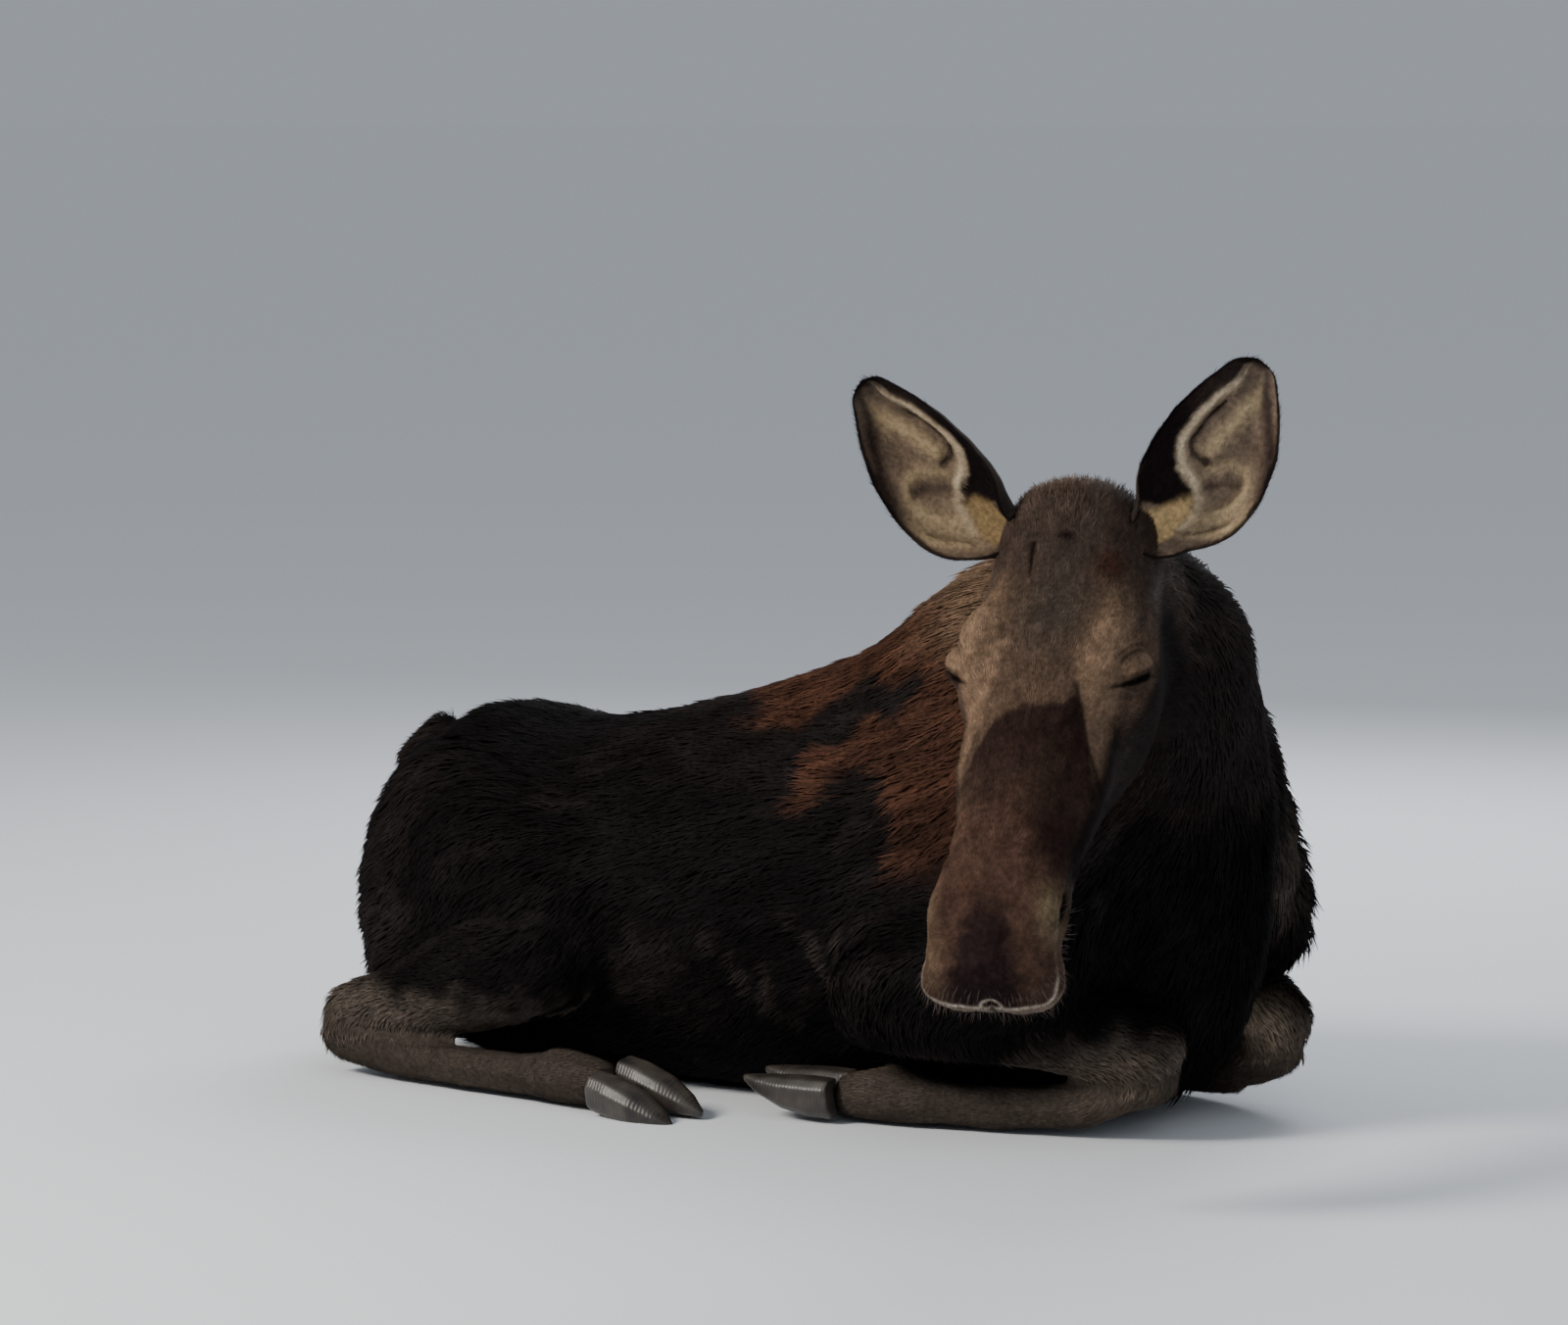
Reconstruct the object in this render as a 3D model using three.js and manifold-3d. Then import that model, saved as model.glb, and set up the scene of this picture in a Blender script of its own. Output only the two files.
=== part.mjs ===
// A cow moose at rest: bedded on her brisket and folded legs, with the long head swung
// round to her right, ears up and muzzle hanging.
// Millimetres, +Z up. While it is being shaped the animal stands in its own body frame:
// +X is the way the chest points, +Y its left side, and the floor is z = 0 under the
// withers. At the end the group is moved so that the origin is the bottom centre of the
// whole animal's box.
//
// The flesh is one distance field. Each muscle group is a "sweep": a chain of stations,
// each with a centre, a half width and a half height above and below it. A surface net
// turns the field into closed meshes, coarse on the trunk and finer on the head and legs,
// and simple cutters part the meshes into the pieces that a person would name.

import * as THREE from "three";
import { mergeVertices } from "three/addons/utils/BufferGeometryUtils.js";
import Module from "manifold-3d";

const wasm = await Module();
wasm.setup();

// ---------- driving dimensions ----------
const GAP = 0.3; // clear space between touching pieces
const HUMP = 756; // top of the withers above the floor
const CROUP = 506; // top of the rump above the floor
const HEAD_LENGTH = 708; // poll to the end of the upper lip
const HEAD_PITCH = 48; // degrees that the face slopes down
const HEAD_HEADING = -70; // degrees that the head is turned from the chest's direction
const POLL = [278, -416, 862]; // top of the head, between the ears
const EAR_LENGTH = 218; // from the bend over the root to the tip
const EAR_WIDTH = 158;
const EYE_RADIUS = 20;
const LID = 5; // thickness of an eyelid
const HOOF_LENGTH = 138;

// Grid steps of the surface nets: smaller where the form is finer.
const TRUNK_CELL = 62;
const NECK_CELL = 42;
const LEG_CELL = 34;
const HEAD_CELL = 20;
const TAIL_CELL = 13;

// ---------- small helpers ----------
const V = (x, y, z) => new THREE.Vector3(x, y, z);
const radians = THREE.MathUtils.degToRad;
const sides = [1, -1]; // left, right

// ---------- distance fields ----------
// Smooth union of two distances, with a fillet about `blend` wide.
function fuse(a, b, blend) {
  const h = Math.max(blend - Math.abs(a - b), 0) / blend;
  return Math.min(a, b) - (h * h * blend) / 4;
}

// A sweep: stations { at, wide, up, down }, smoothed into short straight lengths. `top`
// is the direction that "up" points, from the first end to the last. A `power` over 2
// makes the section boxier, and a `crest` under 2 gives its upper half a ridge.
function sweep(stations, { top = [0, 0, 1], topEnd = top, power = 2, crest = power, steps = 4 } = {}) {
  const centres = new THREE.CatmullRomCurve3(
    stations.map((s) => V(...s.at)),
    false,
    "centripetal",
  );
  const sizes = new THREE.CatmullRomCurve3(
    stations.map((s) => V(s.wide, s.up ?? s.wide, s.down ?? s.up ?? s.wide)),
    false,
    "catmullrom",
    0.5,
  );
  const count = (stations.length - 1) * steps;
  const knots = Array.from({ length: count + 1 }, (_, i) => {
    const size = sizes.getPoint(i / count);
    return { at: centres.getPoint(i / count), wide: size.x, up: size.y, down: size.z };
  });
  const lengths = knots.slice(1).map((b, i) => {
    const a = knots[i];
    const along = b.at.clone().sub(a.at);
    const dir = along.clone().normalize();
    const lift = V(...top).lerp(V(...topEnd), (i + 0.5) / count);
    lift.addScaledVector(dir, -lift.dot(dir)).normalize();
    return { a, b, along, dir, lift, side: lift.clone().cross(dir), length2: along.lengthSq() };
  });
  return (x, y, z) => {
    let best = Infinity;
    let hit = null;
    let hitT = 0;
    for (const s of lengths) {
      const px = x - s.a.at.x;
      const py = y - s.a.at.y;
      const pz = z - s.a.at.z;
      let t = (px * s.along.x + py * s.along.y + pz * s.along.z) / s.length2;
      t = t < 0 ? 0 : t > 1 ? 1 : t;
      const dx = px - s.along.x * t;
      const dy = py - s.along.y * t;
      const dz = pz - s.along.z * t;
      const d = dx * dx + dy * dy + dz * dz;
      if (d < best) {
        best = d;
        hit = s;
        hitT = t;
      }
    }
    const dx = x - hit.a.at.x - hit.along.x * hitT;
    const dy = y - hit.a.at.y - hit.along.y * hitT;
    const dz = z - hit.a.at.z - hit.along.z * hitT;
    const across = dx * hit.side.x + dy * hit.side.y + dz * hit.side.z;
    const above = dx * hit.lift.x + dy * hit.lift.y + dz * hit.lift.z;
    const beyond = dx * hit.dir.x + dy * hit.dir.y + dz * hit.dir.z;
    const mix = (p, q) => p + (q - p) * hitT;
    const wide = mix(hit.a.wide, hit.b.wide);
    const tall = above > 0 ? mix(hit.a.up, hit.b.up) : mix(hit.a.down, hit.b.down);
    const end = Math.min(wide, tall);
    const p = above > 0 ? crest : power;
    const q =
      (Math.abs(across / wide) ** p +
        Math.abs(above / tall) ** p +
        Math.abs(beyond / end) ** p) **
      (1 / p);
    return q < 1e-6 ? -end : Math.sqrt(best) * (1 - 1 / q);
  };
}

// An ellipsoid with half sizes r along three given directions.
function lump(at, r, axes = [[1, 0, 0], [0, 1, 0], [0, 0, 1]]) {
  const [u, v, w] = axes.map((d) => V(...d).normalize());
  return (x, y, z) => {
    const p = V(x - at[0], y - at[1], z - at[2]);
    const q = Math.hypot(p.dot(u) / r[0], p.dot(v) / r[1], p.dot(w) / r[2]);
    return q < 1e-6 ? -Math.min(...r) : p.length() * (1 - 1 / q);
  };
}

// ---------- the head's own frame ----------
// s runs from the poll to the nose, l to the animal's left, t out of the face.
const pitch = radians(HEAD_PITCH);
const heading = radians(HEAD_HEADING);
const NOSEWARD = V(
  Math.cos(pitch) * Math.cos(heading),
  Math.cos(pitch) * Math.sin(heading),
  -Math.sin(pitch),
);
const LEFTWARD = V(-Math.sin(heading), Math.cos(heading), 0);
const FACEWARD = NOSEWARD.clone().cross(LEFTWARD);
const HEAD_AXES = [NOSEWARD.toArray(), LEFTWARD.toArray(), FACEWARD.toArray()];
const inHead = (s, l, t) =>
  V(...POLL)
    .addScaledVector(NOSEWARD, s)
    .addScaledVector(LEFTWARD, l)
    .addScaledVector(FACEWARD, t)
    .toArray();
const alongHead = (s, l, t) =>
  V(0, 0, 0)
    .addScaledVector(NOSEWARD, s)
    .addScaledVector(LEFTWARD, l)
    .addScaledVector(FACEWARD, t)
    .toArray();

// ---------- head ----------
// Distance from the poll, brow line, throat line and half width.
const HEAD_STATIONS = [
  [34, -10, -165, 88],
  [112, 3, -215, 100],
  [208, 8, -248, 110],
  [300, -2, -234, 98],
  [388, -12, -200, 83],
  [470, -6, -168, 77],
  [545, -2, -148, 76],
  [610, -8, -140, 77],
  [HEAD_LENGTH - 46, -30, -134, 76],
];
const skull = sweep(
  HEAD_STATIONS.map(([s, brow, throat, wide]) => {
    const mid = brow * 0.55 + throat * 0.45;
    return { at: inHead(s, 0, mid), wide, up: brow - mid, down: mid - throat };
  }),
  { top: FACEWARD.toArray(), power: 2.5, steps: 4 },
);
const headLump = (s, l, t, r) => lump(inHead(s, l, t), r, HEAD_AXES);
// [field, width of the fillet that joins it]
const HEAD_MUSCLES = [
  [headLump(14, 0, -34, [44, 60, 44]), 30], // crest between the ears
  ...sides.flatMap((k) => [
    [headLump(226, 82 * k, -36, [70, 32, 38]), 40], // brow over the eye
    [headLump(205, 92 * k, -92, [84, 32, 50]), 34], // zygomatic arch behind it
    [headLump(222, 62 * k, -142, [118, 46, 88]), 40], // cheek
    [headLump(372, 56 * k, -84, [100, 34, 36]), 36], // crest of the face
    [headLump(HEAD_LENGTH - 112, 56 * k, -62, [60, 27, 40]), 26], // wing of the nostril
    [headLump(HEAD_LENGTH - 40, 50 * k, -98, [36, 36, 42]), 26], // corner of the upper lip
  ]),
  [headLump(HEAD_LENGTH - 150, 0, -148, [86, 42, 42]), 18], // chin and lower lip
];
function headFlesh(x, y, z) {
  let d = skull(x, y, z);
  for (const [muscle, blend] of HEAD_MUSCLES) d = fuse(d, muscle(x, y, z), blend);
  return d;
}

// ---------- trunk and neck ----------
// x, back line, height of the widest point, half width, depth below the widest point.
// The belly runs a little under the floor, which flattens it.
const TRUNK_STATIONS = [
  [140, 572, 340, 152, 318],
  [66, 710, 345, 202, 345],
  [-20, HUMP, 340, 228, 352],
  [-140, 694, 320, 250, 336],
  [-270, 622, 300, 270, 316],
  [-440, 564, 280, 288, 296],
  [-630, 518, 270, 292, 284],
  [-820, 488, 265, 274, 276],
  [-960, CROUP, 275, 228, 284],
  [-1030, 474, 270, 160, 262],
];
const trunk = sweep(
  TRUNK_STATIONS.map(([x, back, mid, wide, down]) => ({
    at: [x, 0, mid],
    wide,
    up: back - mid,
    down,
  })),
  { power: 2.15, crest: 1.75, steps: 3 },
);
const neck = sweep(
  [
    { at: [0, 0, 500], wide: 170, up: 222, down: 220 },
    { at: [116, -40, 575], wide: 158, up: 158, down: 240 },
    { at: [200, -145, 636], wide: 140, up: 126, down: 212 },
    { at: [240, -262, 690], wide: 120, up: 114, down: 176 },
    { at: inHead(50, 0, -112), wide: 98, up: 92, down: 130 },
  ],
  { power: 2.1, crest: 2.3, steps: 3, topEnd: [-0.2, 0.35, 0.9] },
);

// ---------- limbs ----------
// A limb length: joints [at, half width, half height].
const limb = (joints, steps = 2) =>
  sweep(
    joints.map(([at, wide, up = wide]) => ({ at, wide, up })),
    { steps },
  );
// The lengths of a leg as fields, with the places of their joints, and two dewclaws on the
// back of the ankle.
function legOf(lengths, { ankle, foot, footward, sole, ...zones }) {
  const leg = { joints: {}, foot, footward, sole, ...zones };
  for (const [part, joints] of Object.entries(lengths)) {
    leg[part] = limb(joints);
    leg.joints[part] = joints.map(([at]) => at);
  }
  const forward = V(...footward).normalize();
  const down = V(...sole);
  down.addScaledVector(forward, -down.dot(forward)).normalize();
  const side = down.clone().cross(forward);
  const axes = [forward, side, down].map((v) => v.toArray());
  leg.dewclaws = sides.map((k) => {
    const at = V(...ankle).addScaledVector(side, 20 * k).addScaledVector(down, 32);
    return lump(at.addScaledVector(forward, 14).toArray(), [26, 13, 16], axes);
  });
  return leg;
}

function foreLimb(side, splay) {
  const at = (x, y, z) => [x, (y + splay) * side, z];
  return legOf(
    {
      shoulder: [
        [at(10, 60, 650), 55, 85],
        [at(80, 112, 540), 78, 105],
        [at(130, 168, 425), 82, 98],
        [at(118, 235, 318), 84, 90],
        [at(100, 284, 232), 84, 84],
        [at(-60, 300, 195), 76, 84],
      ],
      forearm: [
        [at(-120, 300, 188), 78, 84],
        [at(-10, 285, 178), 72, 76],
        [at(105, 230, 150), 55, 60],
        [at(204, 166, 122), 57, 62],
      ],
      cannon: [
        [at(212, 162, 92), 46, 48],
        [at(120, 188, 44), 32, 36],
        [at(-40, 232, 33), 30, 33],
        [at(-118, 250, 42), 38, 42],
        [at(-190, 260, 36), 34, 36],
      ],
    },
    {
      ankle: at(-118, 250, 42),
      foot: at(-204, 261, 38),
      footward: [-1, 0.1 * side, -0.06],
      sole: [-0.25, 0.1 * side, 1],
    },
  );
}

function hindLimb(side, reach, splay) {
  const at = (x, y, z) => [x, (y + splay) * side, z];
  return legOf(
    {
      thigh: [
        [at(-925, 115, 325), 116, 126],
        [at(-810, 205, 285), 114, 130],
        [at(-675, 275, 222), 92, 106],
      ],
      buttock: [
        [at(-1010, 88, 318), 86, 106],
        [at(-1030, 150, 212), 82, 102],
        [at(-965, 215, 138), 76, 92],
      ],
      shank: [
        [at(-655, 290, 205), 82, 92],
        [at(-790, 312, 150), 68, 78],
        [at(-930, 322, 100), 46, 54],
        [at(-1002, 326, 80), 44, 54],
      ],
      cannon: [
        [at(-1008, 328, 64), 42, 50],
        [at(-900, 342, 37), 32, 36],
        [at(-705 + reach, 364, 33), 30, 33],
        [at(-622 + reach, 376, 42), 38, 42],
        [at(-552 + reach, 383, 36), 34, 36],
      ],
    },
    {
      ankle: at(-622 + reach, 376, 42),
      foot: at(-536 + reach, 384, 38),
      footward: [1, 0.08 * side, -0.1],
      sole: [0.1, -0.25 * side, -1],
      // what the thigh is cut out of the flesh with: two ends and a radius
      thighZone: [at(-930, 165, 300), at(-700, 275, 236), 150],
    },
  );
}

const foreLegs = { left: foreLimb(1, 0), right: foreLimb(-1, -20) };
const hindLegs = { left: hindLimb(1, 0, -10), right: hindLimb(-1, 40, -10) };

// Head, neck, trunk and the upper limbs as one coat surface: negative inside.
function flesh(x, y, z) {
  let d = fuse(trunk(x, y, z), neck(x, y, z), 120);
  for (const leg of Object.values(foreLegs)) d = fuse(d, leg.shoulder(x, y, z), 80);
  for (const leg of Object.values(hindLegs)) {
    d = fuse(d, leg.thigh(x, y, z), 80);
    d = fuse(d, leg.buttock(x, y, z), 80);
  }
  return fuse(d, headFlesh(x, y, z), 60);
}

// ---------- surface net ----------
// Turns a field into a closed mesh inside a box: one vertex in each grid cell that the
// surface crosses, pulled onto the surface, and one quad for each crossed grid edge.
// `frame` places the grid's own axes.
function surfaceNet(field, low, high, cell, frame = new THREE.Matrix4()) {
  const n = low.map((v, i) => Math.ceil((high[i] - v) / cell) + 1);
  const at = (i, j, k) => (k * n[1] + j) * n[0] + i;
  const point = (i, j, k) =>
    V(low[0] + i * cell, low[1] + j * cell, low[2] + k * cell).applyMatrix4(frame);
  const value = new Float32Array(n[0] * n[1] * n[2]);
  for (let k = 0; k < n[2]; k++)
    for (let j = 0; j < n[1]; j++)
      for (let i = 0; i < n[0]; i++) {
        const edge = !i || !j || !k || i === n[0] - 1 || j === n[1] - 1 || k === n[2] - 1;
        const p = point(i, j, k);
        const d = field(p.x, p.y, p.z);
        value[at(i, j, k)] = edge ? Math.max(d, cell * 0.01) : d;
      }
  const points = [];
  const index = new Map();
  const corners = [0, 1, 2, 3, 4, 5, 6, 7].map((c) => [c & 1, (c >> 1) & 1, c >> 2]);
  const vertexOf = (i, j, k) => {
    const key = at(i, j, k);
    if (index.has(key)) return index.get(key);
    const sum = V(0, 0, 0);
    let crossed = 0;
    for (let a = 0; a < 8; a++)
      for (const bit of [1, 2, 4]) {
        const b = a | bit;
        if (b === a) continue;
        const [ca, cb] = [corners[a], corners[b]];
        const va = value[at(i + ca[0], j + ca[1], k + ca[2])];
        const vb = value[at(i + cb[0], j + cb[1], k + cb[2])];
        if (va < 0 === vb < 0) continue;
        sum.add(V(...ca).lerp(V(...cb), va / (va - vb)));
        crossed++;
      }
    sum.divideScalar(crossed);
    index.set(key, points.length);
    points.push(point(i + sum.x, j + sum.y, k + sum.z));
    return points.length - 1;
  };
  const faces = [];
  const quad = (a, b, c, d, flip) =>
    flip ? faces.push(a, c, b, a, d, c) : faces.push(a, b, c, a, c, d);
  for (let k = 0; k < n[2] - 1; k++)
    for (let j = 0; j < n[1] - 1; j++)
      for (let i = 0; i < n[0] - 1; i++) {
        const inside = value[at(i, j, k)] < 0;
        const ring = (axis) => {
          const o = [[0, 1, 2], [1, 2, 0], [2, 0, 1]][axis];
          const step = (p, q) => {
            const c = [i, j, k];
            c[o[1]] -= p;
            c[o[2]] -= q;
            return vertexOf(...c);
          };
          quad(step(1, 1), step(0, 1), step(0, 0), step(1, 0), !inside);
        };
        if (j && k && inside !== value[at(i + 1, j, k)] < 0) ring(0);
        if (i && k && inside !== value[at(i, j + 1, k)] < 0) ring(1);
        if (i && j && inside !== value[at(i, j, k + 1)] < 0) ring(2);
      }
  // Newton steps pull each vertex onto the surface, at most half a cell each.
  const h = cell * 0.05;
  for (const p of points)
    for (let step = 0; step < 2; step++) {
      const d = field(p.x, p.y, p.z);
      const slope = V(
        field(p.x + h, p.y, p.z) - d,
        field(p.x, p.y + h, p.z) - d,
        field(p.x, p.y, p.z + h) - d,
      ).divideScalar(h);
      const pull = -d / Math.max(slope.lengthSq(), 0.2);
      p.addScaledVector(slope, THREE.MathUtils.clamp(pull, -cell * 0.5, cell * 0.5) * 0.9);
    }
  return solid(points, faces);
}

// ---------- solids ----------
function solid(points, faces) {
  const vertProperties = new Float32Array(points.flatMap((p) => [p.x, p.y, p.z]));
  const triVerts = new Uint32Array(faces);
  return new wasm.Manifold(new wasm.Mesh({ numProp: 3, vertProperties, triVerts }));
}

function solidOf(geometry) {
  const bare = geometry.index ? geometry.toNonIndexed() : geometry.clone();
  bare.deleteAttribute("normal");
  bare.deleteAttribute("uv");
  const merged = mergeVertices(bare, 1e-4);
  return new wasm.Manifold(
    new wasm.Mesh({
      numProp: 3,
      vertProperties: new Float32Array(merged.attributes.position.array),
      triVerts: new Uint32Array(merged.index.array),
    }),
  );
}

function geometryOf(m) {
  const { vertProperties, triVerts } = m.getMesh();
  const g = new THREE.BufferGeometry()
    .setAttribute("position", new THREE.BufferAttribute(new Float32Array(vertProperties), 3))
    .setIndex(new THREE.BufferAttribute(new Uint32Array(triVerts), 1));
  g.computeVertexNormals();
  return g;
}

// The same solid with points closer together than `near` joined, which clears slivers.
function withoutSlivers(m, near = 0.05) {
  const merged = mergeVertices(geometryOf(m).deleteAttribute("normal"), near);
  const index = merged.index.array;
  const faces = [];
  for (let i = 0; i < index.length; i += 3) {
    const [a, b, c] = [index[i], index[i + 1], index[i + 2]];
    if (a !== b && b !== c && c !== a) faces.push(a, b, c);
  }
  return new wasm.Manifold(
    new wasm.Mesh({
      numProp: 3,
      vertProperties: new Float32Array(merged.attributes.position.array),
      triVerts: new Uint32Array(faces),
    }),
  );
}

// A solid grown outward by a small clearance.
function grown(m, by) {
  const g = geometryOf(m);
  const place = g.attributes.position;
  for (let i = 0; i < place.count; i++) {
    const n = V(0, 0, 0).fromBufferAttribute(g.attributes.normal, i);
    const p = V(0, 0, 0).fromBufferAttribute(place, i).addScaledVector(n, by);
    place.setXYZ(i, p.x, p.y, p.z);
  }
  return solidOf(g);
}

const largest = (m) =>
  m.decompose().reduce((best, part) => (part.volume() > best.volume() ? part : best));

// Everything on one side of a plane, as a big box whose face is the plane.
function halfSpace(point, outward, shift = 0) {
  const size = 6000;
  const normal = V(...outward).normalize();
  const box = new THREE.BoxGeometry(size, size, size);
  box.applyQuaternion(new THREE.Quaternion().setFromUnitVectors(V(0, 0, 1), normal));
  const centre = V(...point).addScaledVector(normal, size / 2 + shift);
  return solidOf(box.translate(centre.x, centre.y, centre.z));
}

// A box given by two corners in a frame.
function boxIn(frame, low, high) {
  const size = high.map((v, i) => v - low[i]);
  const centre = high.map((v, i) => (v + low[i]) / 2);
  const box = new THREE.BoxGeometry(...size).translate(...centre);
  return solidOf(box.applyMatrix4(frame));
}

// A rod with round ends between two points.
function rod([a, b, r], more = 0) {
  const along = V(...b).sub(V(...a));
  const middle = V(...a).addScaledVector(along, 0.5);
  const g = new THREE.CapsuleGeometry(r + more, along.length(), 3, 10);
  g.applyQuaternion(new THREE.Quaternion().setFromUnitVectors(V(0, 1, 0), along.normalize()));
  return solidOf(g.translate(middle.x, middle.y, middle.z));
}

// An ellipsoid as a mesh, for small cuts and for the eyes.
function ball(at, r, axes, detail = [16, 10]) {
  const g = new THREE.SphereGeometry(1, ...detail).scale(...r);
  const [u, v, w] = axes.map((d) => V(...d).normalize());
  g.applyMatrix4(new THREE.Matrix4().makeBasis(u, v, w).setPosition(...at));
  return solidOf(g);
}

// ---------- the group ----------
const group = new THREE.Group();
function add(name, m, material) {
  const mesh = new THREE.Mesh(geometryOf(withoutSlivers(m)), material);
  mesh.name = name;
  group.add(mesh);
}
const paint = (color, roughness) =>
  new THREE.MeshStandardMaterial({ color, roughness, metalness: 0 });
const faceCoat = paint(0x5d4c3e, 0.9);
const bodyCoat = paint(0x2b211d, 0.9);
const legCoat = paint(0x6f6257, 0.9);
const earCoat = paint(0x6a5848, 0.9);
const horn = paint(0x1d1a18, 0.5);
const eyeball = paint(0x0c0908, 0.1);

const aboveFloor = halfSpace([0, 0, 0], [0, 0, 1]);
const headFrame = new THREE.Matrix4()
  .makeBasis(NOSEWARD, LEFTWARD, FACEWARD)
  .setPosition(...POLL);

// ---------- head and neck ----------
// Where a line that runs in from outside first meets the skin.
function onSkin(from, toward, field = headFlesh) {
  const dir = V(...toward).normalize();
  const p = V(...from);
  let step = 4;
  while (step > 0.01) {
    while (field(p.x, p.y, p.z) > 0) p.addScaledVector(dir, step);
    p.addScaledVector(dir, -step);
    step /= 4;
  }
  return p.toArray();
}
const mirrored = (v, k) => alongHead(v[0], v[1] * k, v[2]);

const headCut = { at: inHead(-30, 0, 0), out: alongHead(0.88, 0, 0.47) };
const headBox = boxIn(headFrame, [-260, -230, -340], [900, 230, 260]);
const beyondHeadCut = headBox.intersect(halfSpace(headCut.at, headCut.out));
const headZone = headBox.intersect(halfSpace(headCut.at, headCut.out, GAP));
const headMesh = surfaceNet(
  flesh,
  [-120, -152, -312],
  [HEAD_LENGTH + 36, 152, 56],
  HEAD_CELL,
  headFrame,
);
let head = largest(headMesh.intersect(headZone));

// Eyes: a ball deep in its lids, which are nearly closed. The slit runs from the front
// corner back and a little down.
const EYE_FACES = [14, 10];
const EYE = { s: 250, t: -48, depth: 25, out: [0.12, 0.9, 0.42], slit: [-0.84, 0.3, -0.42] };
const eyes = sides.map((k) => {
  const out = V(...mirrored(EYE.out, k)).normalize();
  const slit = V(...mirrored(EYE.slit, k));
  slit.addScaledVector(out, -slit.dot(out)).normalize();
  const across = out.clone().cross(slit);
  const axes = [slit, across, out].map((v) => v.toArray());
  const skin = V(...onSkin(inHead(EYE.s, 200 * k, EYE.t), alongHead(0, -k, 0)));
  const at = skin.addScaledVector(out, -EYE.depth).toArray();
  return { at, out, axes };
});
for (const { at, out, axes } of eyes) {
  const r = EYE_RADIUS + LID;
  const opening = V(...at).addScaledVector(out, r).toArray();
  head = head
    .add(ball(at, [r * 1.4, r, r], axes))
    .subtract(ball(at, [EYE_RADIUS + GAP, EYE_RADIUS + GAP, EYE_RADIUS + GAP], axes, EYE_FACES))
    .subtract(ball(opening, [21, 4.5, 12], axes, [10, 6]));
}

// Nostrils: long hollows on the sides of the muzzle.
const NOSTRIL = { s: HEAD_LENGTH - 112, t: -58, r: [30, 14, 15], lean: 12 };
for (const k of sides) {
  const skin = onSkin(inHead(NOSTRIL.s, 200 * k, NOSTRIL.t), alongHead(0, -k, 0));
  const lean = radians(NOSTRIL.lean);
  const axes = [
    alongHead(Math.cos(lean), 0, -Math.sin(lean)),
    alongHead(0, 1, 0),
    alongHead(Math.sin(lean), 0, Math.cos(lean)),
  ];
  head = head.subtract(ball(skin, NOSTRIL.r, axes, [12, 8]));
}

// Line of the mouth: a groove from corner to corner round the front, under the lip.
const MOUTH = { pivot: HEAD_LENGTH - 118, corner: HEAD_LENGTH - 215, front: -134, back: -112, r: 5 };
const mouthPoint = (turn) => {
  const a = Math.min(Math.abs(turn), Math.PI / 2) * Math.sign(turn || 1);
  const rearward = (Math.max(Math.abs(turn) - Math.PI / 2, 0) * (MOUTH.pivot - MOUTH.corner)) / 0.6;
  const s = MOUTH.pivot - rearward;
  const t = MOUTH.front + (MOUTH.back - MOUTH.front) * (Math.abs(turn) / (Math.PI / 2 + 0.6)) ** 2;
  const out = alongHead(Math.cos(a), Math.sin(a), 0);
  const from = V(...inHead(s, 0, t)).addScaledVector(V(...out), 260).toArray();
  return V(...onSkin(from, out.map((v) => -v)));
};
const mouthTurns = Array.from({ length: 19 }, (_, i) => ((i - 9) / 9) * (Math.PI / 2 + 0.6));
const mouthPath = new THREE.CatmullRomCurve3(mouthTurns.map(mouthPoint));
const mouthSection = new THREE.Shape(
  Array.from({ length: 6 }, (_, i) => {
    const a = (i / 6) * 2 * Math.PI;
    return new THREE.Vector2(MOUTH.r * Math.cos(a), MOUTH.r * Math.sin(a));
  }),
);
head = head.subtract(
  solidOf(new THREE.ExtrudeGeometry(mouthSection, { steps: 24, extrudePath: mouthPath })),
);
head = largest(head);
add("head", head, faceCoat);
eyes.forEach(({ at, axes }, i) => {
  const r = [EYE_RADIUS, EYE_RADIUS, EYE_RADIUS];
  add(`eye_${i ? "right" : "left"}`, ball(at, r, axes, EYE_FACES), eyeball);
});

const neckCut = { at: [158, -52, 550], out: [0.72, -0.45, 0.53] };
const neckMesh = surfaceNet(flesh, [-60, -560, 200], [480, 330, 960], NECK_CELL);
const beyondNeckCut = halfSpace(neckCut.at, neckCut.out);
const neckSolid = largest(
  neckMesh.subtract(beyondHeadCut).intersect(halfSpace(neckCut.at, neckCut.out, GAP)),
);
add("neck", neckSolid, bodyCoat);

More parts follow.
